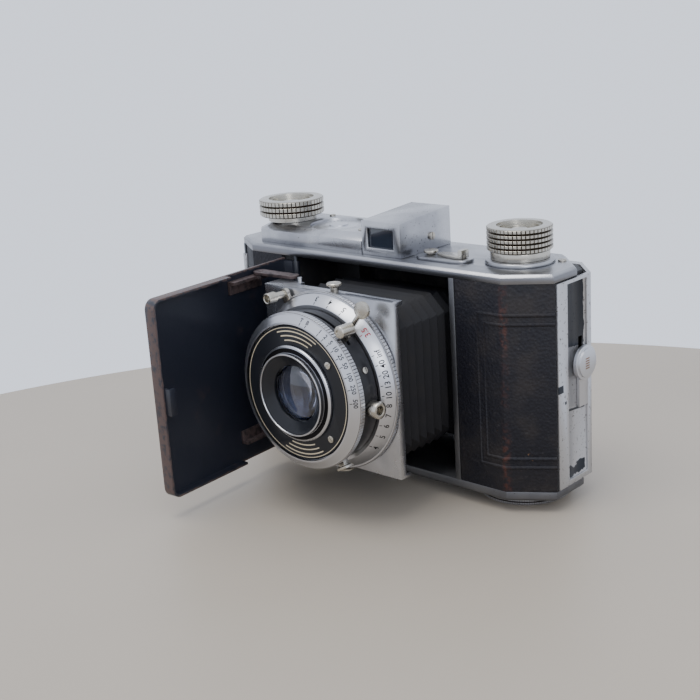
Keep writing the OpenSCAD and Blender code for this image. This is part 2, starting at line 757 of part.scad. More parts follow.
module rear_cell() at_socket() color([0.1, 0.1, 0.1])
    turned([[rear_glass_r + 0.05, tube_y1 - 7], [tube_bore - 0.02, tube_y1 - 7],
        [tube_bore - 0.02, tube_y1 - 1], [rear_glass_r + 0.05, tube_y1 - 1]]);

// Leaves laid round the lens axis, each a flat sector
module leaves(y, t, r0, r1) {
    for (i = [0 : 4])
        around_lens(72 * i, y) rotate([90, 0, 0]) linear_extrude(t) polygon([
            for (k = [0 : 4]) r1 * [cos(2 + 17 * k), sin(2 + 17 * k)],
            for (k = [4 : -1 : 0]) r0 * [cos(2 + 17 * k), sin(2 + 17 * k)]]);
}

module iris_blades() at_socket() color("gray") leaves(blade_y + 0.5, 0.15, 5, chamber_r - 0.4);

module shutter_blades() at_socket() color("gray") leaves(blade_y + 1.2, 0.15, 0.3, chamber_r - 0.4);

module face_screws() at_socket() color("silver") {
    for (a = [38, -42])
        around_lens(a, 0) translate([16.6, face_y0 - 0.4, 0]) rotate([-90, 0, 0]) difference() {
            cylinder(h = 0.4, r = 1);
            translate([-1.5, -0.15, -0.01]) cube([3, 0.3, 0.2]);
        }
    around_lens(22, 0) bar_x(case_r, case_r + 0.4, release_socket_y, 0, 0.9);
}

module release_socket() at_socket() color("silver") around_lens(0, 0) difference() {
    union() {
        bar_x(case_r - 2.4, case_r + 2, release_socket_y, -2.3, 1.95);
        bar_x(case_r + 0.1, case_r + 3.4, release_socket_y, -2.3, 2.4);
    }
    bar_x(case_r - 0.8, case_r + 5, release_socket_y, -2.3, 1.25);
}

module speed_ring() at_socket() color("silver")
    turned([[hub_r + fit, speed_y1], [speed_r, speed_y1], [speed_r, speed_y1 - speed_rim_t],
        [face_r + 0.7, speed_y0], [face_r + gap, speed_y0], [face_r + gap, face_y0 + face_t + 0.1],
        [hub_r + fit, face_y0 + face_t + 0.1]]);

module aperture_lever() at_socket() color("silver") around_lens(iris_a, 0) {
    box(case_r + 0.2, case_r + 2.8, lever_y - 1, lever_y + 1, -1.2, 1.2);
    box(case_r + 2, case_r + 2.8, lever_y - 1.6, lever_y + 1.6, -2, 2);
}

module cocking_lever() at_socket() color("silver") around_lens(cock_a, 0) {
    box(slot_r + 0.3, cock_r, lever_y - 0.4, lever_y + 0.2, -1.5, 1.5);
    translate([cock_r, lever_y - 4.6, 0]) rotate([-90, 0, 0]) cylinder(h = 4.6, r = 2);
}

module release_lever() at_socket() color("silver") around_lens(release_a, 0) {
    bar_x(case_r + 0.1, release_r - 1.5, release_y, 0, 0.75);
    translate([release_r, release_y - 0.6, 0]) rotate([-90, 0, 0]) cylinder(h = 1.2, r = 2.4);
}

// ---- Knobs and film transport ----

// Knurled knob standing on z0: rows of knurling, a flat rim and a stepped hollow top
module knob(x, y, z0, h, r, rows, hub) {
    pitch = h / rows;
    edge = [for (i = [0 : rows - 1]) each [[r - 0.3, z0 + i * pitch], [r, z0 + i * pitch + 0.25],
        [r, z0 + (i + 1) * pitch - 0.25]]];
    translate([x, y, 0]) rotate_extrude() polygon(concat([[0, z0]], edge,
        [[r - 0.4, z0 + h], [r * 0.7, z0 + h],
        [r * 0.7, z0 + h - 0.7], [r * 0.6, z0 + h - 0.7], [r * 0.6, z0 + h - 1.4], [r * 0.5, z0 + h - 1.4],
        [r * 0.5, z0 + h - 2], [hub, z0 + h - 2], [hub, z0 + h - 1.2], [0, z0 + h - 0.9]]));
}

module wind_knob() at_socket() color("silver") {
    knob(wind_x, wind_y, wind_z, wind_h, wind_r, knurl_rows, 2.6);
    post(wind_x, wind_y, counter_top + 0.15, wind_z + 0.1, wind_r * 0.75);
    post(wind_x, wind_y, top_z - 3, wind_z + 0.1, shaft_r);
}

module take_up_spool() at_socket() color([0.1, 0.1, 0.1]) {
    z0 = wall_z + 1.3;
    z1 = top_z - 3;
    difference() {
        union() {
            post(wind_x, wind_y, z0, z1, 4.5);
            post(wind_x, wind_y, z0 + 8, z0 + 9.2, spool_r);
            post(wind_x, wind_y, z1 - 9.2, z1 - 8, spool_r);
        }
        box(wind_x - 5, wind_x + 5, wind_y - 0.5, wind_y + 0.5, z0 + 12, z1 - 12);
    }
}

module counter_dial() at_socket() color("silver") {
    z = counter_top - dial_t;
    post(dial_x, dial_y, z - 0.25, z + 0.15, dial_r);
    post(dial_x, dial_y, z, z + 0.6, 3);
    post(dial_x, dial_y, top_z + 0.2, z, 1);
}

module sprocket_shaft() at_socket() color("silver") {
    z0 = wall_z + gap + 0.3;
    z1 = top_z - gap - 0.3;
    tooth = 0.45;
    post(sprocket_x, sprocket_y, z0, z1, shaft_r);
    for (z = [lens_z - film_w / 2 + 1.6, lens_z + film_w / 2 - 3.2]) {
        post(sprocket_x, sprocket_y, z, z + 1.6, sprocket_r - 0.6);
        for (i = [0 : 5])
            translate([sprocket_x, sprocket_y, z + 0.5]) rotate([0, 0, 60 * i])
                translate([sprocket_r - 1, -0.5, 0]) cube([tooth + 0.5, 1, 0.8]);
    }
}

module rewind_collar() at_socket() color("silver") difference() {
    post(rewind_x, rewind_y, deck_z + boss_h + 0.05, rewind_z - 0.1, collar_r);
    post(rewind_x, rewind_y, deck_z, rewind_z + 1, rewind_shaft_r + fit);
}

module rewind_knob() at_socket() color("silver")
    knob(rewind_x, rewind_y, rewind_z, rewind_h, rewind_r, 5, 2.4);

module rewind_fork() at_socket() color("silver") {
    shaft_z0 = top_z - 4.5;
    post(rewind_x, rewind_y, shaft_z0, rewind_z, rewind_shaft_r);
    difference() {
        post(rewind_x, rewind_y, shaft_z0 - 5, shaft_z0, rewind_shaft_r);
        box(rewind_x - 3, rewind_x + 3, rewind_y - 0.9, rewind_y + 0.9, shaft_z0 - 6, shaft_z0 - 1);
    }
}

// ---- Rewind lock, beside the finder ----

module lock_plate() at_socket() color("silver") difference() {
    translate([0, 0, deck_z]) linear_extrude(lock_t) union() {
        translate([lock_x0 + lock_w / 2, lock_y]) circle(r = lock_w / 2);
        translate([lock_x1 - lock_w / 2, lock_y]) circle(r = lock_w / 2);
        translate([lock_x0 + lock_w / 2, lock_y - lock_w / 2]) square([lock_x1 - lock_x0 - lock_w, lock_w]);
    }
    post(lock_x0 + lock_w / 2, lock_y, deck_z - 1, deck_z + 2, lock_stem_r + fit);
    post(lock_x1 - lock_w / 2, lock_y, deck_z - 1, deck_z + 2, 1 + fit);
}

module lock_button() at_socket() color("silver") {
    x = lock_x0 + lock_w / 2;
    post(x, lock_y, deck_z + 0.05, deck_z + lock_t + 1, lock_stem_r);
    post(x, lock_y, deck_z + lock_t + 0.6, deck_z + lock_t + 1.4, 2.1);
}

module rewind_lever() at_socket() color("silver") {
    x = lock_x1 - lock_w / 2;
    z = deck_z + lock_t + 0.1;
    post(x, lock_y, deck_z + 0.05, z + 0.8, 1);
    translate([x, lock_y, z]) linear_extrude(0.8) union() {
        circle(r = 2.4);
        polygon([[-7, -1.2], [0, -2.4], [0, 2.4], [-7, 1.2]]);
    }
    box(x + 0.8, x + 2.2, lock_y - 1.7, lock_y + 1.7, z, z + 2.4);
}

// ---- Back cover ----

module cover_plan(inset, front) {
    x = cover_x - inset;
    y = back_y - inset;
    bx = cover_bend_x - inset * 0.45;
    by = cover_bend_y - inset * 0.45;
    polygon([[-x, front], [-x, y - by], [-x + bx, y], [x - bx, y], [x, y - by], [x, front]]);
}

module back_cover() at_socket() color("silver") {
    inner_z0 = cover_z0 + 0.6;
    difference() {
        union() {
            difference() {
                translate([0, 0, cover_z0]) linear_extrude(cover_z1 - cover_z0) cover_plan(0, cover_front_y);
                translate([0, 0, cover_z0 - 1]) linear_extrude(cover_z1 - cover_z0 + 2)
                    cover_plan(cover_t, cover_front_y - 1);
            }
            // Rear lips that close the back over and under the film
            for (z = [cover_z0, cover_z1 - 1.1])
                translate([0, 0, z]) linear_extrude(1.1) intersection() {
                    cover_plan(0.2, film_y + 2);
                    translate([-half_w, film_y + 2]) square([body_w, 10]);
                }
            // Hinge knuckles at the left end
            for (z = [cover_z0 + 3, lens_z - 6, cover_z1 - 15]) {
                post(cover_hinge_x, cover_hinge_y, z, z + 12, cover_knuckle_r);
                box(-cover_x, -cover_x + cover_t, cover_hinge_y, cover_front_y + 0.5, z, z + 12);
            }
        }
        post(cover_hinge_x, cover_hinge_y, 0, deck_z, cover_pin_r + fit);
        // Recessed panel and latch slot in the right end
        box(cover_x - panel_in, cover_x + 1, panel_y0, panel_y1, inner_z0 + 1, cover_z1 - 1);
        box(cover_x - cover_t - 1, cover_x + 1, latch_y - 1.2, latch_y + 1.2, latch_z - 4, latch_z + 7.5);
    }
}

module back_leather() at_socket() color([0.09, 0.09, 0.1])
    box(-cover_x + cover_bend_x + 1, cover_x - cover_bend_x - 1,
        back_y, back_y + leather, cover_z0 + 1, cover_z1 - 1);

module pressure_plate() at_socket() color([0.15, 0.15, 0.16])
    box(lens_x - 24, lens_x + 24, film_y + 0.4, film_y + 0.4 + plate_t,
        lens_z - film_w / 2, lens_z + film_w / 2);

// Bowed leaf spring between the pressure plate and the cover
module pressure_spring() at_socket() color("silver") {
    y0 = film_y + 0.4 + plate_t + 0.02;
    y1 = back_y - cover_t - 0.02;
    t = 0.3;
    translate([lens_x, 0, lens_z - 4]) linear_extrude(8) polygon([[-16, y1 - t], [-7, y1 - t],
        [-3, y0], [3, y0], [7, y1 - t], [16, y1 - t], [16, y1], [6.6, y1],
        [2.6, y0 + t], [-2.6, y0 + t], [-6.6, y1], [-16, y1]]);
}

module back_latch() at_socket() color("silver") {
    x0 = cover_x - panel_in + 0.05;
    translate([cover_x + 0.1, latch_y, latch_z]) rotate([0, 90, 0]) {
        cylinder(h = 1.2, r = latch_r);
        cylinder(h = 1.8, r = latch_r - 0.8);
    }
    box(x0, x0 + 0.9, latch_y - 2.2, latch_y + 2.2, latch_z - latch_l, latch_z + 2);
    box(cover_x - cover_t - 0.8, x0 + 0.1, latch_y - 1, latch_y + 1, latch_z - 3.6, latch_z + 1);
}

body_frame();
film_gate();
top_plate();
bottom_plate();
tripod_foot();
support_stud();
front_leathers();
opening_trim();
counter_housing();
finder_housing();
finder_lenses();
rewind_boss();
top_screws();
door_hinge_pin();
cover_hinge_pin();
front_door();
door_leather();
strut_brackets();
door_catch();
upper_strut();
lower_strut();
lens_board();
top_fold_button();
bottom_fold_button();
bellows();
focus_ring();
focus_grip();
shutter_case();
lens_tube();
face_plate();
front_cell();
name_ring();
front_lens();
middle_lens();
rear_lens();
rear_cell();
iris_blades();
shutter_blades();
face_screws();
release_socket();
speed_ring();
aperture_lever();
cocking_lever();
release_lever();
wind_knob();
take_up_spool();
counter_dial();
sprocket_shaft();
rewind_collar();
rewind_knob();
rewind_fork();
lock_plate();
lock_button();
rewind_lever();
back_cover();
back_leather();
pressure_plate();
pressure_spring();
back_latch();
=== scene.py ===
"""A folding 35 mm camera, its front door open, standing on a round table top."""

import json
import math

import bpy
from mathutils import Matrix, Vector

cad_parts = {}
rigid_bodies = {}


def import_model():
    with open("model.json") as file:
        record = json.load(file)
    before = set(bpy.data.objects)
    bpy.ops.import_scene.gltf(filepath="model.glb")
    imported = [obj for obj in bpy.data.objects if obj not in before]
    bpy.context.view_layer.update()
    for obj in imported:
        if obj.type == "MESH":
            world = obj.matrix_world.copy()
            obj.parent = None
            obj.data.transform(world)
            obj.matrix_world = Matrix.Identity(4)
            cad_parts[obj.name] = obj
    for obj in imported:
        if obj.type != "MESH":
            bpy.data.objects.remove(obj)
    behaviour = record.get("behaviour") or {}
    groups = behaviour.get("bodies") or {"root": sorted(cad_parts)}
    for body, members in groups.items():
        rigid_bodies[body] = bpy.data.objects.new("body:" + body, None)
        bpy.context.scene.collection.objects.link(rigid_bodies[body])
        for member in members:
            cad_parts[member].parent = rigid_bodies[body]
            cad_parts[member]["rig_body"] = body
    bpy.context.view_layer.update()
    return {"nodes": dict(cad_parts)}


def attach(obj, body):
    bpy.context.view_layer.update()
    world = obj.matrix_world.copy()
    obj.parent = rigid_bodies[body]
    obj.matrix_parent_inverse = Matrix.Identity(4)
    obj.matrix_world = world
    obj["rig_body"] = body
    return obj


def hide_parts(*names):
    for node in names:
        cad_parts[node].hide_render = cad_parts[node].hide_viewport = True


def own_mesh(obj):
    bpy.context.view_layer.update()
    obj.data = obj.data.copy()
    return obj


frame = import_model()
nodes = frame["nodes"]


# ---- Body casting ----
# The camera is built round a black die-cast shell, with the lens well in its middle
# and a film chamber on each side. Its sharp cast edges are broken by hand.

MM = 0.001
# The foot stands this far right of the body's middle, and the part's origin is at its centre
FOOT_X = 43
# Points nearer than MERGE are one point, and faces within FLAT degrees are one face
MERGE = 1e-6
FLAT = 0.4


def at(x, y, z):
    """A place in the part's frame, from millimetres about the middle of the body."""
    return Vector((x - FOOT_X, y, z)) * MM


class Socket:
    """A socket of a finish, so that maths on it reads as an expression."""

    def __init__(self, finish, socket):
        self.finish = finish
        self.socket = socket

    def _math(self, operation, a, b):
        return self.finish.node("ShaderNodeMath", {"operation": operation}, {0: a, 1: b})

    def __add__(self, other):
        return self._math("ADD", self, other)

    def __sub__(self, other):
        return self._math("SUBTRACT", self, other)

    def __mul__(self, other):
        return self._math("MULTIPLY", self, other)

    def __pow__(self, other):
        return self._math("POWER", self, other)

    def __rsub__(self, other):
        return self._math("SUBTRACT", other, self)

    __radd__ = __add__
    __rmul__ = __mul__


class Finish:
    """A material: plain numbers on its shader, and nodes for what varies over the surface."""

    def __init__(self, name, numbers):
        self.material = bpy.data.materials.new(name)
        self.material.use_nodes = True
        self.tree = self.material.node_tree
        self.shader = self.tree.nodes["Principled BSDF"]
        self.feed(numbers)

    def feed(self, values):
        """Sets or links the shader's own sockets, by name."""
        for name, value in values.items():
            self._set(self.shader.inputs[name], value)

    def _set(self, target, value):
        if isinstance(value, Socket):
            self.tree.links.new(value.socket, target)
        else:
            target.default_value = value

    def node(self, kind, settings=None, values=None, output=0):
        """Adds a node: its settings first, then the values or links of its sockets."""
        made = self.tree.nodes.new(kind)
        for name, value in (settings or {}).items():
            setattr(made, name, value)
        for name, value in (values or {}).items():
            self._set(made.inputs[name], value)
        return Socket(self, made.outputs[output])

    def place(self):
        return self.node("ShaderNodeTexCoord", output="Object")

    def axes(self):
        place = self.place()
        return [self.node("ShaderNodeSeparateXYZ", values={0: place}, output=i) for i in range(3)]

    def off_axis(self, axis, across):
        """Offsets from an axis along the two directions across it, and the distance from it."""
        place = self.axes()
        first, second = (place[i] - axis[i] for i in across)
        return first, second, (first * first + second * second) ** 0.5

    def noise(self, scale, detail=3):
        return self.node("ShaderNodeTexNoise", values={
            "Vector": self.place(), "Scale": scale, "Detail": detail, "Roughness": 0.55})

    def ramp(self, value, low, high):
        """Rises smoothly from 0 at low to 1 at high."""
        return self.node("ShaderNodeMapRange", {"interpolation_type": "SMOOTHSTEP"},
                         {0: value, 1: low, 2: high, 3: 0, 4: 1})

    def band(self, value, centre, half, soft):
        """1 within half of centre, falling to 0 over soft."""
        away = self.node("ShaderNodeMath", {"operation": "ABSOLUTE"}, {0: value - centre})
        return 1 - self.ramp(away, half, half + soft)

    def mix(self, mask, a, b):
        """The colour a where the mask is 0, and b where it is 1."""
        return self.node("ShaderNodeMix", {"data_type": "RGBA"}, {0: mask, 6: a, 7: b}, 2)

    def bump(self, height, distance):
        """Small relief, distance metres high."""
        return self.node("ShaderNodeBump", values={
            "Height": height, "Distance": distance, "Strength": 1.0})


def only(piece):
    """Leaves one piece selected and active."""
    bpy.ops.object.select_all(action="DESELECT")
    piece.select_set(True)
    bpy.context.view_layer.objects.active = piece


def settle(piece, finish, body, slot, *replaced):
    """Gives a finished piece its material, its body and the nodes it stands for."""
    piece.data.materials.clear()
    piece.data.materials.append(finish.material)
    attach(piece, body)
    if replaced:
        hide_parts(*replaced)
    return piece


def smooth(piece, degrees=32):
    """Shades a piece smooth, but for edges sharper than this."""
    only(piece)
    bpy.ops.object.shade_smooth_by_angle(angle=math.radians(degrees))


def break_edges(piece, width, segments=2, degrees=32):
    """Rounds a piece's sharp edges by width millimetres."""
    only(piece)
    bevel = piece.modifiers.new("Edges", "BEVEL")
    bevel.width = width * MM
    bevel.segments = segments
    bevel.limit_method = "ANGLE"
    bevel.angle_limit = math.radians(degrees)
    bpy.ops.object.modifier_apply(modifier=bevel.name)
    smooth(piece, degrees + 6)


def worked(node, name, edge, finish, slot, shape=None):
    """A copy of a node as one skin, shaped, with its edges broken, in the node's place."""
    piece = bpy.data.objects.new(name, nodes[node].data.copy())
    bpy.context.scene.collection.objects.link(piece)
    only(piece)
    if piece.data.has_custom_normals:
        bpy.ops.mesh.customdata_custom_splitnormals_clear()
    bpy.ops.object.mode_set(mode="EDIT")
    bpy.ops.mesh.select_all(action="SELECT")
    bpy.ops.mesh.remove_doubles(threshold=MERGE)
    bpy.ops.mesh.dissolve_limited(angle_limit=math.radians(FLAT))
    bpy.ops.object.mode_set(mode="OBJECT")
    if shape:
        shape(piece)
    break_edges(piece, edge)
    return settle(piece, finish, nodes[node]["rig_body"], slot, node)


cast_black = Finish("CastBlack", {"Roughness": 0.62, "Base Color": (0.012, 0.012, 0.014, 1)})
dust = cast_black.ramp(cast_black.noise(240), 0.52, 0.75)
cast_black.feed({
    "Base Color": cast_black.mix(dust * 0.35, (0.010, 0.010, 0.012, 1), (0.075, 0.062, 0.048, 1)),
    "Normal": cast_black.bump(cast_black.noise(2200), 0.00004),
})
worked("body_frame", "Casting", 0.18, cast_black, "casting")
worked("film_gate", "FilmGate", 0.1, cast_black, "casting")
worked("pressure_plate", "PressurePlate", 0.15, cast_black, "casting")


# ---- Top plate and bottom plate ----
# Both plates are pressed brass with a satin chrome plating that has gone cloudy with age.
# Fine pits show where the plating has let rust through.

RUST = (0.045, 0.032, 0.024, 1)
RIM_FADE = 0.0006


def satin_chrome(name, tone=0.5, pits=0.7, rough=0.24, dark_below=0.0):
    """Cloudy chrome; pits is where its rust spots start, dark_below a height in metres."""
    chrome = Finish(name, {"Metallic": 1.0})
    cloud = chrome.noise(55, 4)
    pit = chrome.ramp(chrome.noise(1500, 2), pits, pits + 0.035) * chrome.ramp(cloud, 0.44, 0.6)
    light = (tone, tone * 1.01, tone * 1.05, 1)
    dull = (tone * 0.6, tone * 0.61, tone * 0.66, 1)
    plated = chrome.mix(chrome.ramp(cloud, 0.3, 0.72), light, dull)
    if dark_below:
        rim = 1 - chrome.ramp(chrome.axes()[2], dark_below - RIM_FADE, dark_below)
        plated = chrome.mix(rim * 0.8, plated, (tone * 0.4, tone * 0.4, tone * 0.43, 1))
    chrome.feed({
        "Base Color": chrome.mix(pit, plated, RUST),
        "Roughness": rough + 0.12 * cloud + 0.35 * pit,
        "Normal": chrome.bump(chrome.noise(3000, 2) - pit * 0.8, 0.000012),
    })
    return chrome


TOP_RIM_DARK_Z = 0.0687
plate_chrome = satin_chrome("PlateChrome", 0.42, dark_below=TOP_RIM_DARK_Z)
worked("top_plate", "TopPlate", 0.9, plate_chrome, "satin_chrome")
dull_metal = satin_chrome("DullMetal", 0.2, 0.68, 0.4)
# The height of the lower plate's underside, the width of the cut along its lower edge, and
# how near the foot and the stud an edge may be and still be left sharp
PLATE_LOW = 2.3
CHAMFER = 1.7
FOOT_CLEAR_X = 0.015
FOOT_CLEAR_Y = 0.014
STUD_CLEAR = 0.0075


def chamfer_below(plate):
    """Cuts the plate's lower outer edge back, so that the foot shows under it."""
    only(plate)
    bpy.ops.object.mode_set(mode="EDIT")
    bpy.ops.mesh.select_mode(type="EDGE")
    bpy.ops.mesh.select_all(action="DESELECT")
    bpy.ops.object.mode_set(mode="OBJECT")
    points = plate.data.vertices
    for edge in plate.data.edges:
        ends = [points[i].co for i in edge.vertices]
        low = all(end.z < PLATE_LOW * MM + MERGE for end in ends)
        outer = all(abs(end.y) > FOOT_CLEAR_Y or abs(end.x) > FOOT_CLEAR_X for end in ends)
        near_stud = all((end - at(-FOOT_X, 0, PLATE_LOW)).length < STUD_CLEAR for end in ends)
        edge.select = low and outer and not near_stud
    bpy.ops.object.mode_set(mode="EDIT")
    bpy.ops.mesh.bevel(offset=CHAMFER * MM, segments=1, affect="EDGES", clamp_overlap=True)
    bpy.ops.object.mode_set(mode="OBJECT")


worked("bottom_plate", "BottomPlate", 0.3, dull_metal, "trim_grey", chamfer_below)
worked("opening_trim", "OpeningTrim", 0.15, dull_metal, "trim_grey")
worked("rewind_boss", "RewindBoss", 0.3, plate_chrome, "satin_chrome")


# ---- Tripod foot ----
# A turned chrome disc under the rewind end, with two rows of fine knurling round its rim
# and a threaded bush up its middle. A plain stud under the other end keeps the camera level.

FOOT_R = 13.35
FOOT_GROOVE_R = 13.0
FOOT_KNURL = (0.4, 2.0)
SOCKET_R = 3.175
SOCKET_TOP = 5.5
THREAD_DEPTH = 0.25
THREAD_STEP = 0.5
SPIGOT_R = 6.7
SPIGOT_TOP = 7.8
FOOT_PAD = 0.14
# The radius at which a solid turned piece closes on its axis
TINY = 0.02


def turned(name, outline, steps, solid):
    """Turns an outline of (radius, height) millimetres about the upright axis."""
    bpy.ops.object.select_all(action="DESELECT")
    radius, height = outline[0]
    bpy.ops.mesh.primitive_circle_add(
        vertices=steps, radius=radius * MM, location=(0, 0, height * MM),
        fill_type="NGON" if solid else "NOTHING")
    piece = bpy.context.object
    piece.name = name
    bpy.ops.object.transform_apply(location=True, rotation=True, scale=True)
    bpy.ops.object.mode_set(mode="EDIT")
    bpy.ops.mesh.select_all(action="SELECT")
    extrude = bpy.ops.mesh.extrude_region_move if solid else bpy.ops.mesh.extrude_edges_move
    for next_radius, next_height in outline[1:]:
        extrude(TRANSFORM_OT_translate={"value": (0, 0, (next_height - height) * MM)})
        grow = next_radius / radius
        bpy.ops.transform.resize(value=(grow, grow, 1), center_override=(0, 0, 0))
        radius, height = next_radius, next_height
    bpy.ops.mesh.select_all(action="SELECT")
    bpy.ops.mesh.remove_doubles(threshold=MERGE)
    bpy.ops.mesh.normals_make_consistent(inside=False)
    bpy.ops.object.mode_set(mode="OBJECT")
    return piece


# A face is on the rim if it is this near the full radius and hardly leans up or down
RIM_SHARE = 0.99
RIM_LEAN = 0.2


def knurl(piece, radius, low, high, inset, depth):
    """Raises a pad on each face of a band of a turned piece, between two heights."""
    only(piece)
    bpy.ops.object.mode_set(mode="EDIT")
    bpy.ops.mesh.select_mode(type="FACE")
    bpy.ops.mesh.select_all(action="DESELECT")
    bpy.ops.object.mode_set(mode="OBJECT")
    for face in piece.data.polygons:
        centre = face.center
        out = math.hypot(centre.x, centre.y)
        on_rim = out > radius * MM * RIM_SHARE and abs(face.normal.z) < RIM_LEAN
        face.select = on_rim and low * MM < centre.z < high * MM
    bpy.ops.object.mode_set(mode="EDIT")
    bpy.ops.mesh.inset(thickness=inset * MM, depth=depth * MM, use_individual=True)
    bpy.ops.object.mode_set(mode="OBJECT")


def stand(piece, centre):
    """Puts a turned piece, made about the origin, upright at its place."""
    piece.data.transform(Matrix.Translation(centre))
    piece.data.update()


# Dirt and painted shade lie between two depths below the pads' tops, and fade in or out over each
# pair
GROOVE_DIRT_AND_SHADE = (0.085, 0.07, 0.052, 1)
DIRT_AND_SHADE_DEEP = (0.9, 0.8)
DIRT_AND_SHADE_SHALLOW = (0.16, 0.03)
DIRT_AND_SHADE_END_FADE = 0.00005


def dirt_and_shade_in_grooves(finish, axis, across, outer, low, high, plain):
    """Darkens a rim, from low to high metres along its axis, between its knurled pads: dirt, and
    painted shade in the grooves.
    """
    radius = finish.off_axis(axis, across)[2]
    along = finish.axes()[3 - sum(across)]
    deep = finish.ramp(radius, *((outer - depth) * MM for depth in DIRT_AND_SHADE_DEEP))
    shallow = finish.ramp(radius, *((outer - depth) * MM for depth in DIRT_AND_SHADE_SHALLOW))
    groove_dirt_and_shade = deep * (1 - shallow)
    groove_dirt_and_shade = groove_dirt_and_shade * finish.band(along, (low + high) / 2, (high - low) / 2, DIRT_AND_SHADE_END_FADE)
    finish.feed({"Base Color": finish.mix(groove_dirt_and_shade, plain, GROOVE_DIRT_AND_SHADE)})


thread = [(SOCKET_R + (THREAD_DEPTH if i % 2 else 0.0), SOCKET_TOP - THREAD_STEP * i)
          for i in range(11)]
foot = turned("TripodFoot", [(TINY, SOCKET_TOP)] + thread + [
    (SOCKET_R, 0), (12.9, 0), (FOOT_R, FOOT_KNURL[0]), (FOOT_R, 1.1), (FOOT_GROOVE_R, 1.2),
    (FOOT_R, 1.3), (FOOT_R, FOOT_KNURL[1]), (FOOT_GROOVE_R, PLATE_LOW), (SPIGOT_R, PLATE_LOW),
    (SPIGOT_R, SPIGOT_TOP), (TINY, SPIGOT_TOP)], 120, True)
knurl(foot, FOOT_R, *FOOT_KNURL, FOOT_PAD, FOOT_PAD)
smooth(foot)
stand(foot, at(FOOT_X, 0, 0))
knurled_chrome = satin_chrome("KnurledChrome", 0.42, 0.66, 0.3)
dirt_and_shade_in_grooves(knurled_chrome, at(FOOT_X, 0, 0), (0, 1), FOOT_R + FOOT_PAD,
                 FOOT_KNURL[0] * MM, FOOT_KNURL[1] * MM, (0.42, 0.42, 0.44, 1))
settle(foot, knurled_chrome, "body", "satin_chrome", "tripod_foot")
worked("support_stud", "SupportStud", 0.2, dull_metal, "satin_chrome")


# ---- Leather ----
# Thin black leather is glued to the front, the door and the back. It has a pebbled grain
# and is rubbed reddish brown along the corners. A double frame is embossed at the right.


def black_leather(name, streak_at):
    """Pebbled black leather; streak_at is where a red streak is rubbed, from the origin."""
    hide = Finish(name, {"Specular IOR Level": 0.3})
    x, y, z = hide.axes()
    pebble = hide.node("ShaderNodeTexVoronoi", {"feature": "SMOOTH_F1"}, {
        "Vector": hide.place(), "Scale": 1200, "Smoothness": 0.5})
    grime = hide.noise(90, 4)
    fine = hide.noise(700, 3)
    rubbed = hide.band(x, streak_at * MM, 0.0003, 0.0013) * hide.ramp(fine, 0.38, 0.66)
    rubbed = rubbed * hide.ramp(hide.noise(60, 2), 0.35, 0.65)
    spots = hide.ramp(hide.noise(260, 2), 0.7, 0.75) * (1 - hide.ramp(z, 0.014, 0.03))
    worn = hide.mix(hide.ramp(grime, 0.42, 0.7) * 0.6, (0.006, 0.006, 0.010, 1),
                    (0.026, 0.021, 0.019, 1))
    worn = hide.mix(hide.ramp(fine, 0.6, 0.75) * 0.3, worn, (0.05, 0.045, 0.045, 1))
    reddened = hide.mix(rubbed * 0.6, worn, (0.085, 0.026, 0.016, 1))
    hide.feed({
        "Base Color": hide.mix(spots, reddened, (0.17, 0.085, 0.035, 1)),
        "Roughness": 0.44 + 0.3 * grime,
        "Normal": hide.bump(pebble * 0.9 + fine * 0.3, 0.00016),
    })
    return hide


# The streak runs down the front's right corner. The door and the back have none, so theirs
# is put well outside the camera's body.
LEATHER_CORNER_X = 48.7
NO_CORNER_X = -200
leather = black_leather("FrontLeather", LEATHER_CORNER_X - FOOT_X)
worked("front_leathers", "FrontLeathers", 0.12, leather, "black_leather")
back_leather = black_leather("BackLeather", NO_CORNER_X)
worked("door_leather", "DoorLeather", 0.12, back_leather, "black_leather")
worked("back_leather", "BackLeather", 0.12, back_leather, "black_leather")

# Where the embossed lines run: the leather's front, the bend in it, and its right end
LEATHER_FRONT_Y = -17.5
LEATHER_BEND_X = 48.5
LEATHER_END = (60.4, -9.7)
BEAD = 0.65
BEAD_SUNK = 0.3


def embossed_line(name, x, z_low, z_high):
    """A raised bead down the front at x, and along the top and the bottom to the end."""
    ends = [(px, py + BEAD_SUNK) for px, py in (LEATHER_END, (LEATHER_BEND_X, LEATHER_FRONT_Y))]
    front_y = LEATHER_FRONT_Y + BEAD_SUNK
    path = [(px, py, z_high) for px, py in ends] + [(x, front_y, z_high)]
    path += [(x, front_y, z_low)] + [(px, py, z_low) for px, py in reversed(ends)]
    curve = bpy.data.curves.new(name, "CURVE")
    curve.dimensions = "3D"
    curve.bevel_depth = BEAD * MM
    curve.bevel_resolution = 3
    curve.use_fill_caps = True
    line = curve.splines.new("POLY")
    line.points.add(len(path) - 1)
    for point, place in zip(line.points, path):
        point.co = (*at(*place), 1)
    bead = bpy.data.objects.new(name, curve)
    bpy.context.scene.collection.objects.link(bead)
    only(bead)
    bpy.ops.object.convert(target="MESH")
    bead = bpy.context.object
    smooth(bead, 60)
    settle(bead, leather, "body", "black_leather")


embossed_line("EmbossedOuter", 40.2, 13.6, 57.8)
embossed_line("EmbossedInner", 42.4, 16.2, 55.2)


# ---- Counter housing, finder and screws ----
# The left of the top carries a bevelled housing with the film counter let into it.
# The finder is a wedge-shaped pressing with a window at each end, screwed on beside it.

housing_chrome = satin_chrome("HousingChrome", 0.5, 0.66, 0.22)
worked("counter_housing", "CounterHousing", 0.3, housing_chrome, "satin_chrome")
worked("finder_housing", "FinderHousing", 0.9, housing_chrome, "satin_chrome")
worked("lock_plate", "LockPlate", 0.25, plate_chrome, "satin_chrome")


def carried(node, finish):
    """A node that is shown as it is, with a finish."""
    nodes[node].data.materials.clear()
    nodes[node].data.materials.append(finish.material)


finder_glass = Finish("FinderGlass", {
    "Base Color": (0.016, 0.021, 0.032, 1), "Roughness": 0.08, "Coat Weight": 1.0,
    "Coat Roughness": 0.03})
carried("finder_lenses", finder_glass)


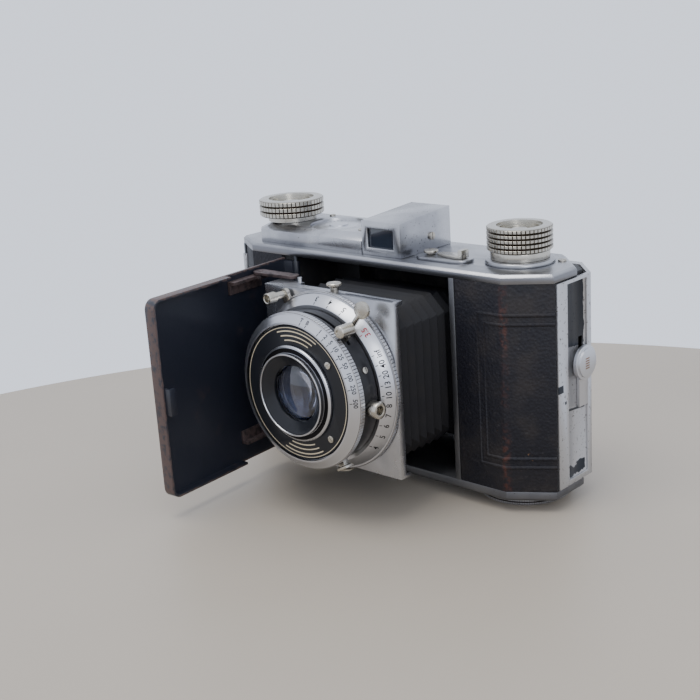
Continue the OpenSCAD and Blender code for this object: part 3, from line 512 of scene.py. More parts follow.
def nickel(name):
    """Nickel plating that has tarnished brown in patches."""
    plated = Finish(name, {"Metallic": 1.0})
    tarnish = plated.ramp(plated.noise(150, 4), 0.42, 0.8)
    plated.feed({
        "Base Color": plated.mix(tarnish * 0.6, (0.5, 0.475, 0.42, 1), (0.22, 0.185, 0.13, 1)),
        "Roughness": 0.24 + 0.16 * tarnish,
        "Normal": plated.bump(plated.noise(2600, 2), 0.00001),
    })
    return plated


warm_nickel = nickel("WarmNickel")
for node, name, edge in (
        ("top_screws", "TopScrews", 0.04), ("lock_button", "LockButton", 0.15),
        ("rewind_lever", "RewindLever", 0.15), ("release_socket", "ReleaseSocket", 0.12),
        ("face_screws", "FaceScrews", 0.04), ("aperture_lever", "ApertureLever", 0.15),
        ("release_lever", "ReleaseLever", 0.2), ("rewind_collar", "RewindCollar", 0.15),
        ("rewind_fork", "RewindFork", 0.1)):
    worked(node, name, edge, warm_nickel, "nickel")

# The counter's disc is engraved with a tick for each frame
DIAL = at(-24, -2.5, 0)
DIAL_FRAMES = 36
TICK_AT_R = 0.0070
TICK_HALF_LONG = 0.0009
counter_face = Finish("CounterFace", {"Metallic": 1.0, "Roughness": 0.36})
dial_x, dial_y, dial_radius = counter_face.off_axis(DIAL, (0, 1))
turn = counter_face.node("ShaderNodeMath", {"operation": "ARCTAN2"}, {0: dial_y, 1: dial_x})
tick_turn = counter_face.node("ShaderNodeMath", {"operation": "FRACT"}, {
    0: turn * (DIAL_FRAMES / math.tau) + DIAL_FRAMES})
ticks = counter_face.band(tick_turn, 0.5, 0.06, 0.05) * counter_face.band(
    dial_radius, TICK_AT_R, TICK_HALF_LONG, 0.0001)
counter_face.feed({"Base Color": counter_face.mix(
    ticks, (0.58, 0.59, 0.62, 1), (0.02, 0.02, 0.02, 1))})
worked("counter_dial", "CounterDial", 0.1, counter_face, "satin_chrome")


# ---- Wind knob and rewind knob ----
# Both are turned brass, nickel plated, with rows of square knurling round the rim and a
# stepped hollow top. The wind knob carries the take-up spool on its shaft.

KNURL_STEPS = 48
KNOB_PAD = 0.22
KNOB_PAD_GAP = 0.2
ROW_GROOVE = 0.42
ROW_GROOVE_HALF = 0.16
KNOB_TOP_LAND = 0.2


def knurled_knob(name, radius, height, rows, hub, below):
    """A knob with its underside at height 0; below is the outline of what hangs under it."""
    pitch = height / rows
    face = radius - KNOB_PAD
    rim = []
    for row in range(rows):
        low = row * pitch
        rim += [(radius - ROW_GROOVE, low), (face, low + ROW_GROOVE_HALF),
                (face, low + pitch - ROW_GROOVE_HALF)]
    top = [(radius - 0.5, height - 0.02), (radius - 0.75, height), (radius * 0.7, height),
           (radius * 0.69, height - 0.7), (radius * 0.6, height - 0.7),
           (radius * 0.59, height - 1.4), (radius * 0.5, height - 1.4),
           (radius * 0.49, height - 2), (hub + 0.1, height - 2), (hub, height - 1.9),
           (hub, height - 1.35), (hub - 0.3, height - 1.15), (TINY, height - 0.95)]
    knob = turned(name, below + rim + top, KNURL_STEPS, True)
    for row in range(rows):
        knurl(knob, face, row * pitch, (row + 1) * pitch, KNOB_PAD_GAP, KNOB_PAD)
    smooth(knob, 28)
    return knob


KNOB_TONE = (0.46, 0.44, 0.39, 1)
WIND_AT = at(-43.5, -3.4, 76.5)
WIND_R = 10.4
WIND_H = 5.3
WIND_SHAFT_R = 2
WIND_SHAFT_LOW = -13
WIND_SKIRT_R = 7.8
WIND_SKIRT_LOW = -1.65
wind_knob = knurled_knob("WindKnob", WIND_R, WIND_H, 3, 2.6, [
    (TINY, WIND_SHAFT_LOW), (WIND_SHAFT_R, WIND_SHAFT_LOW), (WIND_SHAFT_R, WIND_SKIRT_LOW),
    (WIND_SKIRT_R, WIND_SKIRT_LOW), (WIND_SKIRT_R, 0)])
stand(wind_knob, WIND_AT)
wind_nickel = nickel("WindNickel")
dirt_and_shade_in_grooves(wind_nickel, WIND_AT, (0, 1), WIND_R, WIND_AT.z,
                 WIND_AT.z + (WIND_H - KNOB_TOP_LAND) * MM, KNOB_TONE)
settle(wind_knob, wind_nickel, "wind", "nickel", "wind_knob")

REWIND_AT = at(43.2, -0.5, 72.7)
REWIND_R = 9.3
REWIND_H = 6.9
rewind_knob = knurled_knob("RewindKnob", REWIND_R, REWIND_H, 5, 2.4, [(TINY, 0)])
stand(rewind_knob, REWIND_AT)
rewind_nickel = nickel("RewindNickel")
dirt_and_shade_in_grooves(rewind_nickel, REWIND_AT, (0, 1), REWIND_R, REWIND_AT.z,
                 REWIND_AT.z + (REWIND_H - KNOB_TOP_LAND) * MM, KNOB_TONE)
settle(rewind_knob, rewind_nickel, "rewind", "nickel", "rewind_knob")

spool_black = Finish("SpoolBlack", {"Base Color": (0.014, 0.014, 0.016, 1)})
spool_black.feed({"Roughness": 0.32 + 0.2 * spool_black.noise(300)})
worked("take_up_spool", "TakeUpSpool", 0.2, spool_black, "lens_black")
worked("sprocket_shaft", "Sprocket", 0.1, warm_nickel, "nickel")


# ---- Front door and struts ----
# The door is a steel pressing, enamelled blue-black inside. The enamel has worn to brown
# along its rims. Two flat leaves, one above and one below, link it to the lens board.

# The enamel's wear starts at the first of each pair and is complete at the second
WORN_BELOW_Z = (0.0073, 0.0068)
WORN_ABOVE_Z = (0.0652, 0.0657)
WORN_BEYOND_Y = (-0.0756, -0.0761)
RAGGED = 0.0016
blue_enamel = Finish("DoorEnamel", {"Coat Weight": 0.25, "Coat Roughness": 0.25})
door_y, door_z = blue_enamel.axes()[1:]
ragged = RAGGED * blue_enamel.noise(420, 4) - RAGGED / 2
rim = 1 - blue_enamel.ramp(door_z + ragged, *reversed(WORN_BELOW_Z))
rim = rim + blue_enamel.ramp(door_z + ragged, *WORN_ABOVE_Z)
rim = rim + (1 - blue_enamel.ramp(door_y + ragged, *reversed(WORN_BEYOND_Y)))
rim = rim * blue_enamel.ramp(blue_enamel.noise(700, 4), 0.3, 0.55)
scuff = blue_enamel.ramp(blue_enamel.noise(160, 5), 0.6, 0.8) * 0.3
wear = blue_enamel.node("ShaderNodeClamp", values={0: rim + scuff})
blue_enamel.feed({
    "Base Color": blue_enamel.mix(wear, (0.009, 0.011, 0.019, 1), (0.075, 0.046, 0.04, 1)),
    "Roughness": 0.42 + 0.3 * wear,
    "Normal": blue_enamel.bump(blue_enamel.noise(900) - wear * 0.6, 0.00003),
})
worked("front_door", "Door", 0.22, blue_enamel, "black_enamel")
worked("door_catch", "DoorCatch", 0.1, blue_enamel, "black_enamel")

strut_brown = Finish("StrutBrown", {"Metallic": 0.35})
strut_rust = strut_brown.ramp(strut_brown.noise(500, 4), 0.4, 0.7)
strut_brown.feed({
    "Base Color": strut_brown.mix(strut_rust, (0.075, 0.052, 0.05, 1), (0.022, 0.016, 0.018, 1)),
    "Roughness": 0.45 + 0.25 * strut_rust,
    "Normal": strut_brown.bump(strut_rust, 0.00003),
})
worked("strut_brackets", "StrutBrackets", 0.12, strut_brown, "worn_enamel")
worked("upper_strut", "UpperStrut", 0.2, strut_brown, "worn_enamel")
worked("lower_strut", "LowerStrut", 0.2, strut_brown, "worn_enamel")

blued_steel = Finish("BluedSteel", {"Metallic": 1.0, "Base Color": (0.16, 0.17, 0.19, 1)})
blued_steel.feed({"Roughness": 0.3 + 0.2 * blued_steel.noise(600)})
for node in ("door_hinge_pin", "cover_hinge_pin", "iris_blades", "shutter_blades"):
    carried(node, blued_steel)
# The spring gets a mesh of its own; its give by the pressure plate's small travel is not modelled
spring = worked("pressure_spring", "PressureSpring", 0.03, blued_steel, "blade_steel")
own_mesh(spring)


# ---- Lens board and its fold buttons ----
# A square plate of chromed brass with a flange along its top and its bottom. A small sprung
# button stands on each flange; both are pressed to let the lens fold back.

LENS_X = 4
LENS_Z = 38.25
BUTTON_X = 5.1
BUTTON_Y = -36.8
SLOT_W = 0.9
SLOT_X = (8.6, 26.2)
SLOT_CUT_H = 80
SLOT_ROUNDING = 0.45


def slot_flanges(board):
    """Cuts the long slot beside the fold button through both flanges."""
    bpy.ops.object.select_all(action="DESELECT")
    bpy.ops.mesh.primitive_cube_add(size=1)
    cutter = bpy.context.object
    cutter.data.transform(
        Matrix.Translation(at(sum(SLOT_X) / 2, BUTTON_Y, LENS_Z))
        @ Matrix.Diagonal((
            (SLOT_X[1] - SLOT_X[0]) * MM, SLOT_W * MM, SLOT_CUT_H * MM, 1)))
    break_edges(cutter, SLOT_W * SLOT_ROUNDING, 4)
    only(board)
    cut = board.modifiers.new("Slot", "BOOLEAN")
    cut.object = cutter
    cut.solver = "EXACT"
    bpy.ops.object.modifier_apply(modifier=cut.name)
    bpy.data.objects.remove(cutter)


board_chrome = satin_chrome("BoardChrome", 0.52, 0.72, 0.22)
worked("lens_board", "LensBoard", 0.18, board_chrome, "satin_chrome", slot_flanges)

BUTTON_STEM_R = 1.2
BUTTON_STEM_LOW = -1.0
BUTTON_HEAD = (1.9, 2.45)


def fold_button(name, node, head_r, z, upwards):
    """A stem with a knurled, slightly dished head."""
    head_low, head_high = BUTTON_HEAD
    rim_r = head_r - 0.12
    button = turned(name, [
        (TINY, BUTTON_STEM_LOW), (BUTTON_STEM_R, BUTTON_STEM_LOW), (BUTTON_STEM_R, 1.3),
        (head_r - 0.5, 1.7), (rim_r, head_low), (rim_r, head_high), (head_r - 0.3, 2.6),
        (head_r * 0.6, 2.6), (head_r * 0.5, head_high), (TINY, 2.4)], 30, True)
    knurl(button, rim_r, head_low, head_high, 0.06, 0.1)
    smooth(button)
    if not upwards:
        button.data.transform(Matrix.Rotation(math.pi, 4, "X"))
    stand(button, at(BUTTON_X, BUTTON_Y, z))
    settle(button, warm_nickel, node, "nickel", node)


fold_button("TopFoldButton", "top_fold_button", 2.2, 63.75, True)
fold_button("BottomFoldButton", "bottom_fold_button", 2.6, 12.75, False)


# ---- Bellows ----
# Black cloth-lined skin folded into pleats, with its four corners cut off. It is glued to
# the lens board in front and to the film gate behind. It is built drawn out, not packed flat as
# when the lens folds.

# Both ends are measured forward from the middle of the body's thickness
BELLOWS_FRONT = 37.9
BELLOWS_REAR = -10.2
BELLOWS_LENGTH = BELLOWS_FRONT - BELLOWS_REAR
BELLOWS_HALF = (23.4, 22.6)
BELLOWS_NARROWING = (2.4, 6.0)
BELLOWS_CORNER = 5
PLEATS = 14
PLEAT_DEPTH = 1.9
SKIN = 0.35


def pleat_size(i):
    """Half width and half height at the i-th fold: wide outside, drawn in between."""
    narrowing = max(0, i - PLEATS) / PLEATS
    drawn_in = 0 if i % 2 else PLEAT_DEPTH
    return [half - less * narrowing - drawn_in
            for half, less in zip(BELLOWS_HALF, BELLOWS_NARROWING)]


def draw_to(size, last):
    """Resizes the selected outline from the last half width and half height to new ones."""
    bpy.ops.transform.resize(
        value=(size[0] / last[0], size[1] / last[1], 1), center_override=(0, 0, 0))


bpy.ops.object.select_all(action="DESELECT")
bpy.ops.mesh.primitive_plane_add(size=2 * MM)
bellows = bpy.context.object
bellows.name = "Bellows"
bpy.ops.object.mode_set(mode="EDIT")
bpy.ops.mesh.select_all(action="SELECT")
draw_to(BELLOWS_HALF, (1, 1))
bpy.ops.mesh.bevel(offset=BELLOWS_CORNER * MM, affect="VERTICES", segments=1)
bpy.ops.mesh.select_all(action="SELECT")
bpy.ops.mesh.delete(type="ONLY_FACE")
bpy.ops.mesh.select_all(action="SELECT")
draw_to(pleat_size(0), BELLOWS_HALF)
fold_run = BELLOWS_LENGTH / (2 * PLEATS)
for i in range(1, 2 * PLEATS + 1):
    bpy.ops.mesh.extrude_edges_move(TRANSFORM_OT_translate={"value": (0, 0, -fold_run * MM)})
    draw_to(pleat_size(i), pleat_size(i - 1))
bpy.ops.mesh.select_all(action="SELECT")
bpy.ops.mesh.remove_doubles(threshold=MERGE)
bpy.ops.mesh.normals_make_consistent(inside=False)
bpy.ops.object.mode_set(mode="OBJECT")
only(bellows)
skin = bellows.modifiers.new("Skin", "SOLIDIFY")
skin.thickness = SKIN * MM
skin.offset = -1
bpy.ops.object.modifier_apply(modifier=skin.name)
break_edges(bellows, 0.14, 2, 25)
LENS_TURN = Matrix.Rotation(math.radians(90), 4, "X")
LENS_AXIS = at(LENS_X, 0, LENS_Z)
bellows.data.transform(
    Matrix.Translation(LENS_AXIS + Vector((0, -BELLOWS_FRONT * MM, 0))) @ LENS_TURN)
bellows.data.update()

bellows_skin = Finish("BellowsSkin", {"Specular IOR Level": 0.25})
bellows_dust = bellows_skin.ramp(bellows_skin.noise(120, 4), 0.45, 0.8)
bellows_skin.feed({
    "Base Color": bellows_skin.mix(bellows_dust * 0.5, (0.005, 0.005, 0.007, 1),
                                   (0.022, 0.020, 0.018, 1)),
    "Roughness": 0.55 + 0.2 * bellows_dust,
    "Normal": bellows_skin.bump(bellows_skin.noise(1800, 3), 0.00004),
})
settle(bellows, bellows_skin, "body", "bellows_cloth", "bellows")
at(LENS_X, -BELLOWS_REAR, LENS_Z)
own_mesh(bellows)


# ---- Focus ring ----
# A turned chrome ring with a fine-toothed rim and a coned face engraved with distances.
# It is turned by a hollow knurled stud on an arm at its upper left.


def face_lens(piece):
    """Turns a piece made about the upright axis to look out of the lens."""
    piece.data.transform(Matrix.Translation(LENS_AXIS) @ LENS_TURN)
    piece.data.update()


RING_TONE = (0.52, 0.525, 0.55, 1)
TOOTH = 0.16
FOCUS_R = 26.12
FOCUS_RIM = (39.6, 40.9)
FOCUS_BORE_R = 13.55
FOCUS_REAR = 39.5
FOCUS_FRONT = 44.2
FOCUS_CONE = ((25.5, 41.3), (23.2, 44.05))
focus_chrome = satin_chrome("FocusChrome", 0.56, 0.74, 0.24)
dirt_and_shade_in_grooves(focus_chrome, LENS_AXIS, (0, 2), FOCUS_R + TOOTH,
                 -FOCUS_RIM[1] * MM, -FOCUS_RIM[0] * MM, RING_TONE)
focus_ring = turned("FocusRing", [
    (FOCUS_BORE_R, FOCUS_REAR), (26.0, FOCUS_REAR), (FOCUS_R, FOCUS_RIM[0]),
    (FOCUS_R, FOCUS_RIM[1]), (25.9, 41.0), (25.6, 41.0), *FOCUS_CONE, (23.0, FOCUS_FRONT),
    (FOCUS_BORE_R, FOCUS_FRONT), (FOCUS_BORE_R, FOCUS_REAR)], 160, False)
knurl(focus_ring, FOCUS_R, *FOCUS_RIM, TOOTH, TOOTH)
smooth(focus_ring, 25)
face_lens(focus_ring)
settle(focus_ring, focus_chrome, "focus", "satin_chrome", "focus_ring")


def set_on_arm(stud, stud_r, degrees, arm_r, arm_front, arm_size, arm_edge):
    """Moves a turned stud out to its radius, and joins it to the flat arm that carries it."""
    angle = math.radians(degrees)
    stud.data.transform(Matrix.Translation((
        stud_r * math.cos(angle) * MM, stud_r * math.sin(angle) * MM, 0)))
    bpy.ops.object.select_all(action="DESELECT")
    bpy.ops.mesh.primitive_cube_add(size=1)
    arm = bpy.context.object
    arm.data.transform(
        Matrix.Rotation(angle, 4, "Z")
        @ Matrix.Translation((arm_r * MM, 0, arm_front * MM))
        @ Matrix.Diagonal((*(side * MM for side in arm_size), 1)))
    break_edges(arm, arm_edge)
    arm.select_set(True)
    stud.select_set(True)
    bpy.context.view_layer.objects.active = stud
    bpy.ops.object.join()
    smooth(stud)
    face_lens(stud)


GRIP_STUD_R = 1.65
GRIP_HEAD = (44.9, 47.75)
GRIP_REAR = 39.9
grip = turned("FocusGrip", [
    (TINY, 46.2), (1.05, 46.2), (1.05, GRIP_HEAD[1]), (1.25, 47.9), (1.5, 47.9),
    (GRIP_STUD_R, GRIP_HEAD[1]), (GRIP_STUD_R, GRIP_HEAD[0]), (1.5, 44.7), (1.1, 44.6),
    (1.1, 41.2), (GRIP_STUD_R, 41.1), (GRIP_STUD_R, GRIP_REAR), (TINY, GRIP_REAR)], 22, True)
knurl(grip, GRIP_STUD_R, *GRIP_HEAD, 0.1, 0.13)
set_on_arm(grip, 28.15, 122.6, 26.9, 40.5, (2.4, 3.0, 1.2), 0.25)
settle(grip, warm_nickel, "focus", "nickel", "focus_grip")

INK_BLACK = Finish("EngravedBlack", {
    "Base Color": (0.004, 0.004, 0.005, 1), "Roughness": 0.6, "Specular IOR Level": 0.1})
INK_RED = Finish("EngravedRed", {
    "Base Color": (0.32, 0.012, 0.016, 1), "Roughness": 0.6, "Specular IOR Level": 0.1})
FIGURE_RAISED = 0.02
FIGURE_BOLDER = 0.025
TICK_LONG = 0.8
TICK_WIDE = 0.2
TICK_THICK = 0.05


def figures(name, marks, cone, size, inward, finish, body):
    """Figures round the lens, each (text, degrees), on a cone between two (radius, front)."""
    (outer_r, outer_front), (inner_r, inner_front) = cone
    radius, front = (outer_r + inner_r) / 2, (outer_front + inner_front) / 2
    tilt = math.atan2(inner_front - outer_front, outer_r - inner_r)
    half_face = math.hypot(inner_front - outer_front, outer_r - inner_r) / 2
    bpy.ops.object.select_all(action="DESELECT")
    made = []
    for text, degrees in marks:
        on_face = (
            Matrix.Translation(LENS_AXIS + Vector((0, -front * MM, 0)))
            @ Matrix.Rotation(math.radians(90 - degrees), 4, "Y")
            @ Matrix.Translation((0, 0, radius * MM))
            @ Matrix.Rotation(-tilt, 4, "X")
            @ LENS_TURN)
        bpy.ops.object.text_add()
        mark = bpy.context.object
        mark.data.body = text
        mark.data.size = size * MM
        mark.data.align_x = "CENTER"
        mark.data.align_y = "CENTER"
        mark.data.extrude = FIGURE_RAISED * MM
        mark.data.offset = FIGURE_BOLDER * MM
        mark.data.resolution_u = 3
        bpy.ops.object.convert(target="MESH")
        mark = bpy.context.object
        mark.data.transform(
            on_face @ Matrix.Translation((0, TICK_LONG * 0.4 * MM, 0))
            @ Matrix.Rotation(math.pi if inward else 0, 4, "Z"))
        made.append(mark)
        bpy.ops.mesh.primitive_cube_add(size=1)
        tick = bpy.context.object
        tick.data.transform(
            on_face @ Matrix.Translation((0, (TICK_LONG / 2 - half_face) * MM, 0))
            @ Matrix.Diagonal((TICK_WIDE * MM, TICK_LONG * MM, TICK_THICK * MM, 1)))
        made.append(tick)
    bpy.ops.object.select_all(action="DESELECT")
    for mark in made:
        mark.select_set(True)
    bpy.context.view_layer.objects.active = made[0]
    bpy.ops.object.join()
    joined = bpy.context.object
    joined.name = name
    settle(joined, finish, body, "lens_black")


DISTANCE_SIZE = 2.3
figures("DistanceFigures", [
    ("inf", 29), ("40", 22), ("20", 15), ("13", 8), ("10", 1), ("8", -6), ("7", -13), ("6", -21),
    ("5", -30), ("4", -41), ("5", 67), ("4", 79), ("3", 91)],
        FOCUS_CONE, DISTANCE_SIZE, True, INK_BLACK, "focus")
figures("OpenMark", [("3.5", 44.8)], FOCUS_CONE, DISTANCE_SIZE, True, INK_RED, "focus")


# ---- Shutter ----
# A black enamelled case holds the leaf shutter. A chrome ring with a toothed rim turns in
# front of it to set the speed, round a black face plate lined in cream.

barrel_black = Finish("BarrelBlack", {"Specular IOR Level": 0.3, "Coat Weight": 0.08})
barrel_rub = barrel_black.ramp(barrel_black.noise(350, 4), 0.55, 0.8)
barrel_black.feed({
    "Base Color": barrel_black.mix(barrel_rub * 0.5, (0.008, 0.008, 0.010, 1),
                                   (0.08, 0.075, 0.07, 1)),
    "Roughness": 0.3 + 0.3 * barrel_rub,
})
worked("shutter_case", "ShutterCase", 0.15, barrel_black, "lens_black")
carried("lens_tube", board_chrome)
carried("rear_cell", barrel_black)

SPEED_R = 22.62
SPEED_RIM = (50.3, 52.1)
SPEED_BORE_R = 18.55
SPEED_REAR = 50.15
SPEED_STEP_R = 19.8
SPEED_FRONT = 53.9
SPEED_CONE = ((22.2, 52.3), (20.3, 53.85))
speed_ring = turned("SpeedRing", [
    (SPEED_BORE_R, SPEED_REAR), (22.45, SPEED_REAR), (SPEED_R, SPEED_RIM[0]),
    (SPEED_R, SPEED_RIM[1]), (22.4, 52.25), *SPEED_CONE, (20.1, SPEED_FRONT),
    (SPEED_STEP_R, SPEED_FRONT), (SPEED_STEP_R, SPEED_RIM[1]), (SPEED_BORE_R, SPEED_RIM[1]),
    (SPEED_BORE_R, SPEED_REAR)], 150, False)
knurl(speed_ring, SPEED_R, *SPEED_RIM, TOOTH, TOOTH)
smooth(speed_ring, 25)
face_lens(speed_ring)
speed_chrome = satin_chrome("SpeedChrome", 0.56, 0.74, 0.24)
dirt_and_shade_in_grooves(speed_chrome, LENS_AXIS, (0, 2), SPEED_R + TOOTH,
                 -SPEED_RIM[1] * MM, -SPEED_RIM[0] * MM, RING_TONE)
settle(speed_ring, speed_chrome, "speed_ring", "satin_chrome", "speed_ring")
figures("SpeedFigures", [
    ("T", 81), ("B", 75), ("1", 62), ("2", 56), ("5", 50), ("10", 44), ("25", 37), ("50", 30),
    ("100", 21.5), ("250", 12), ("500", 1.5)], SPEED_CONE, 1.75, False, INK_BLACK, "speed_ring")

# Cream lines on the face plate: three above and three below, and one thin line at its rim
CREAM = (0.55, 0.47, 0.33, 1)
RIM_LINE_R = 0.0188
LINES_TILT = 0.09
face_black = Finish("FaceBlack", {
    "Roughness": 0.34, "Specular IOR Level": 0.3, "Coat Weight": 0.08})
out_x, out_z, face_radius = face_black.off_axis(LENS_AXIS, (0, 2))
side_turn = face_black.node("ShaderNodeMath", {"operation": "ABSOLUTE"}, {
    0: face_black.node("ShaderNodeMath", {"operation": "ARCTAN2"}, {0: out_z, 1: out_x})})
lines = face_black.band(face_radius, RIM_LINE_R, 0.00006, 0.00008)
for line_radius, half_angle in ((0.0178, 0.42), (0.0165, 0.36), (0.0152, 0.29)):
    whole_line = face_black.band(face_radius, line_radius, 0.00013, 0.00008)
    lines = lines + whole_line * face_black.band(
        side_turn, math.pi / 2 - LINES_TILT, half_angle, 0.02)
face_black.feed({"Base Color": face_black.mix(lines, (0.007, 0.008, 0.011, 1), CREAM)})
worked("face_plate", "FacePlate", 0.1, face_black, "lens_black")

# The shutter is cocked by a head with three knurled rows, on a thin arm
COCK_HEAD_R = 1.75
COCK_ROWS = (47.4, 48.9, 50.4, 51.9)
cocking = turned("CockingHead", [
    (TINY, COCK_ROWS[0]), *((COCK_HEAD_R, row) for row in COCK_ROWS), (1.5, 52.15),
    (0.9, 52.2), (0.85, COCK_ROWS[-1]), (TINY, COCK_ROWS[-1])], 20, True)
knurl(cocking, COCK_HEAD_R, 47.5, COCK_ROWS[-1], 0.09, 0.15)
set_on_arm(cocking, 25.4, 50, 21.85, 48.0, (7.1, 3.0, 0.6), 0.1)
settle(cocking, warm_nickel, "cocking", "nickel", "cocking_lever")


# ---- Lens ----
# Three glasses: a front one in a knurled chrome cell, one behind it, and a rear one in the
# sliding tube. The front glass has a bluish cast. The bezel round it is black and plain.

GLASS_SEAT_R = 8.25
CELL_REAR = 47.6
CELL_R = 13.75
CELL_RIM = (53.7, 54.5)
front_cell = turned("FrontCell", [
    (GLASS_SEAT_R, CELL_REAR), (GLASS_SEAT_R, 53.0), (11.4, 53.9), (11.4, 56.25), (11.5, 56.4),
    (11.8, 56.4), (11.9, 56.3), (11.9, 55.0), (13.0, 55.0), (13.6, 54.7), (CELL_R, CELL_RIM[1]),
    (CELL_R, CELL_RIM[0]), (12.3, 53.65), (12.3, 52.3), (9.1, 52.3), (9.1, CELL_REAR),
    (GLASS_SEAT_R, CELL_REAR)], 130, False)
knurl(front_cell, CELL_R, *CELL_RIM, 0.12, 0.13)
smooth(front_cell, 25)
face_lens(front_cell)
# The cell's flat between its bezel and its knurling is blackened
CELL_BLACK_R = 0.01262
CELL_BLACK_HALF = 0.00062
cell_chrome = satin_chrome("CellChrome", 0.5, 0.78, 0.22)
cell_radius = cell_chrome.off_axis(LENS_AXIS, (0, 2))[2]
cell_chrome.feed({"Base Color": cell_chrome.mix(
    cell_chrome.band(cell_radius, CELL_BLACK_R, CELL_BLACK_HALF, 0.00005),
    (0.5, 0.505, 0.53, 1), (0.012, 0.012, 0.014, 1))})
settle(front_cell, cell_chrome, "shutter", "satin_chrome", "front_cell")
worked("name_ring", "Bezel", 0.08, face_black, "lens_black")

clear_glass = Finish("LensGlass", {
    "Base Color": (0.42, 0.46, 0.60, 1), "Roughness": 0.015, "IOR": 1.58,
    "Transmission Weight": 1.0, "Coat Weight": 0.3})
for node in ("front_lens", "middle_lens", "rear_lens"):
    smooth(worked(node, node.title().replace("_", ""), 0.05, clear_glass, "glass"), 40)


# ---- Back cover and latch ----
# The back is a bare pressing, its black paint long gone but for remnants in the recess of
# the right end. A sliding latch with a round head holds it shut.

# Where the paint is left in the recess, then a groove, and a notch and a pin hole that are
# painted shade, in metres
COVER_END_X = at(60.4, 0, 0).x
CHIPPED = 0.0022
PAINT_MID_Y = 0.0008
PAINT_HALF_Y = 0.0040
UPPER_PAINT_Z = (0.0466, 0.0469)
LOWER_PAINT_Z = 0.0102
GAP_LINE_Z = 0.0283
NOTCH_Y, NOTCH_Z = -0.0078, 0.0360
HOLE_Y, HOLE_Z = -0.0055, 0.0316
HOLE_HALF = 0.0003
cover_metal = Finish("CoverMetal", {"Specular IOR Level": 0.3})
cover_x, cover_y, cover_z = cover_metal.axes()
speckle = cover_metal.ramp(cover_metal.noise(1300, 3), 0.62, 0.68)
chips = CHIPPED * cover_metal.noise(330, 5) - CHIPPED / 2
in_recess = cover_metal.ramp(cover_x, COVER_END_X - 0.0004, COVER_END_X - 0.0001)
in_recess = in_recess * (
    1 - cover_metal.ramp(cover_x, COVER_END_X + 0.00015, COVER_END_X + 0.0003))
recess_width = cover_metal.band(cover_y + chips, PAINT_MID_Y, PAINT_HALF_Y, 0.0002)
upper_paint = cover_metal.ramp(cover_z + chips, *UPPER_PAINT_Z)
lower_paint = cover_metal.band(cover_z + chips * 2, LOWER_PAINT_Z, 0.0016, 0.0003)
gap_line = cover_metal.band(cover_z + 0.1 * cover_y, GAP_LINE_Z, 0.0003, 0.0001)
on_rim = cover_metal.ramp(cover_x, COVER_END_X, COVER_END_X + 0.0003)
# The notch and the pin hole are not cut: dark spots on the rim, in the paint's colour, are
# painted shade for them
notch_shade = cover_metal.band(cover_y + 0.3 * chips, NOTCH_Y, 0.0012, 0.0002)
notch_shade = notch_shade * cover_metal.band(cover_z, NOTCH_Z, 0.0010, 0.0002)
hole_shade = cover_metal.band(cover_y, HOLE_Y, HOLE_HALF, 0.0003)
hole_shade = hole_shade * cover_metal.band(cover_z, HOLE_Z, HOLE_HALF, 0.0003)
paint_and_hole_shade = cover_metal.node("ShaderNodeClamp", values={
    0: in_recess * recess_width * (upper_paint + lower_paint + gap_line)
       + on_rim * (notch_shade + hole_shade)})
bare = cover_metal.mix(speckle * 0.8, (0.46, 0.46, 0.47, 1), (0.10, 0.085, 0.07, 1))
cover_metal.feed({
    "Base Color": cover_metal.mix(paint_and_hole_shade, bare, (0.009, 0.012, 0.018, 1)),
    "Metallic": 0.85 - 0.85 * paint_and_hole_shade,
    "Roughness": 0.36 + 0.2 * speckle,
    "Normal": cover_metal.bump(paint_and_hole_shade * 0.6 - speckle * 0.4, 0.00004),
})
worked("back_cover", "BackCover", 0.28, cover_metal, "cover_metal")

# The latch's head is stamped with a few short brown slots
LATCH = at(60.9, 3.2, 41.25)
LATCH_SLOTS = 5
SLOT_STEP = 0.0007
latch_metal = Finish("LatchMetal", {"Metallic": 0.9})
latch_x, latch_y, latch_z = latch_metal.axes()
slots = latch_metal.band(latch_y, LATCH.y - 0.0004, 0.0009, 0.0002)
slot_rows = sum(
    latch_metal.band(latch_z, LATCH.z + SLOT_STEP * (row - LATCH_SLOTS // 2), 0.00012, 0.0001)
    for row in range(LATCH_SLOTS))
slots = slots * slot_rows * latch_metal.ramp(latch_x, LATCH.x, LATCH.x + 0.0005)
latch_metal.feed({
    "Base Color": latch_metal.mix(slots, (0.55, 0.56, 0.59, 1), (0.22, 0.10, 0.03, 1)),
    "Roughness": 0.34 + 0.12 * latch_metal.noise(500),
})
worked("back_latch", "BackLatch", 0.25, latch_metal, "nickel")


# ---- Table, light and view ----
# The camera stands on a round, pale table top against a pale wall, in soft light from above.

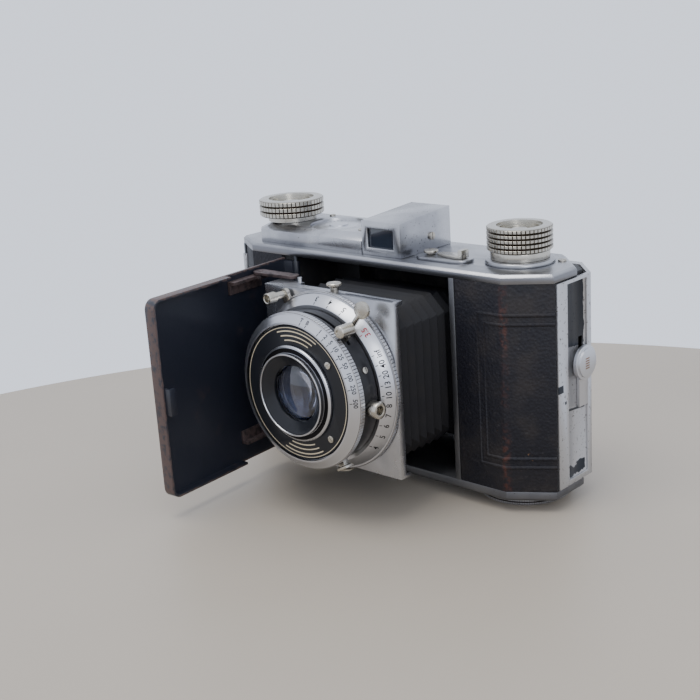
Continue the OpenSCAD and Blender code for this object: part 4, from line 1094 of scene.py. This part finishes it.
TABLE_R = 290
TABLE_THICK = 20
TABLE_AT = (0.0516, -0.1269, -TABLE_THICK / 2 * MM)
bpy.ops.object.select_all(action="DESELECT")
bpy.ops.mesh.primitive_cylinder_add(
    vertices=256, radius=TABLE_R * MM, depth=TABLE_THICK * MM, location=TABLE_AT)
table = bpy.context.object
table.name = "TableTop"
table_finish = Finish("TablePaint", {"Roughness": 0.5})
cloudy = table_finish.noise(9, 4)
table_finish.feed({"Base Color": table_finish.mix(
    cloudy, (0.345, 0.30, 0.245, 1), (0.40, 0.35, 0.285, 1))})
table.data.materials.append(table_finish.material)
break_edges(table, 1.5)

world = bpy.data.worlds.new("PaleWall")
world.use_nodes = True
wall = world.node_tree.nodes["Background"].inputs
wall["Color"].default_value = (0.72, 0.77, 0.88, 1)
wall["Strength"].default_value = 1.6
bpy.context.scene.world = world


def soft_light(name, place, aim, size, watts, colour):
    """A round soft light at a place, turned to what it lights."""
    lamp = bpy.data.lights.new(name, "AREA")
    lamp.shape = "DISK"
    lamp.size = size
    lamp.energy = watts
    lamp.color = colour
    light = bpy.data.objects.new(name, lamp)
    bpy.context.scene.collection.objects.link(light)
    light.location = place
    light.rotation_euler = (Vector(aim) - Vector(place)).to_track_quat("-Z", "Y").to_euler()


soft_light("Overhead", (-0.1, -0.25, 0.9), (0, -0.03, 0.03), 0.6, 5.0, (1.0, 0.98, 0.95))
soft_light("Fill", (0.7, -0.5, 0.45), (0, -0.03, 0.04), 0.5, 2.0, (0.95, 0.97, 1.0))

VIEW_FROM = Vector((196.8, -280.9, 147.0)) * MM
VIEW_TO = Vector((-47.3, -22.0, 41.2)) * MM
VIEW_ROLL = -3.69
VIEW_LENS = 63.58
lens = bpy.data.cameras.new("View")
lens.lens = VIEW_LENS
lens.sensor_width = 36
lens.clip_start = 0.01
view = bpy.data.objects.new("View", lens)
bpy.context.scene.collection.objects.link(view)
view.location = VIEW_FROM
view.rotation_euler = (
    (VIEW_TO - VIEW_FROM).to_track_quat("-Z", "Y").to_matrix()
    @ Matrix.Rotation(math.radians(VIEW_ROLL), 3, "Z")).to_euler()
bpy.context.scene.camera = view
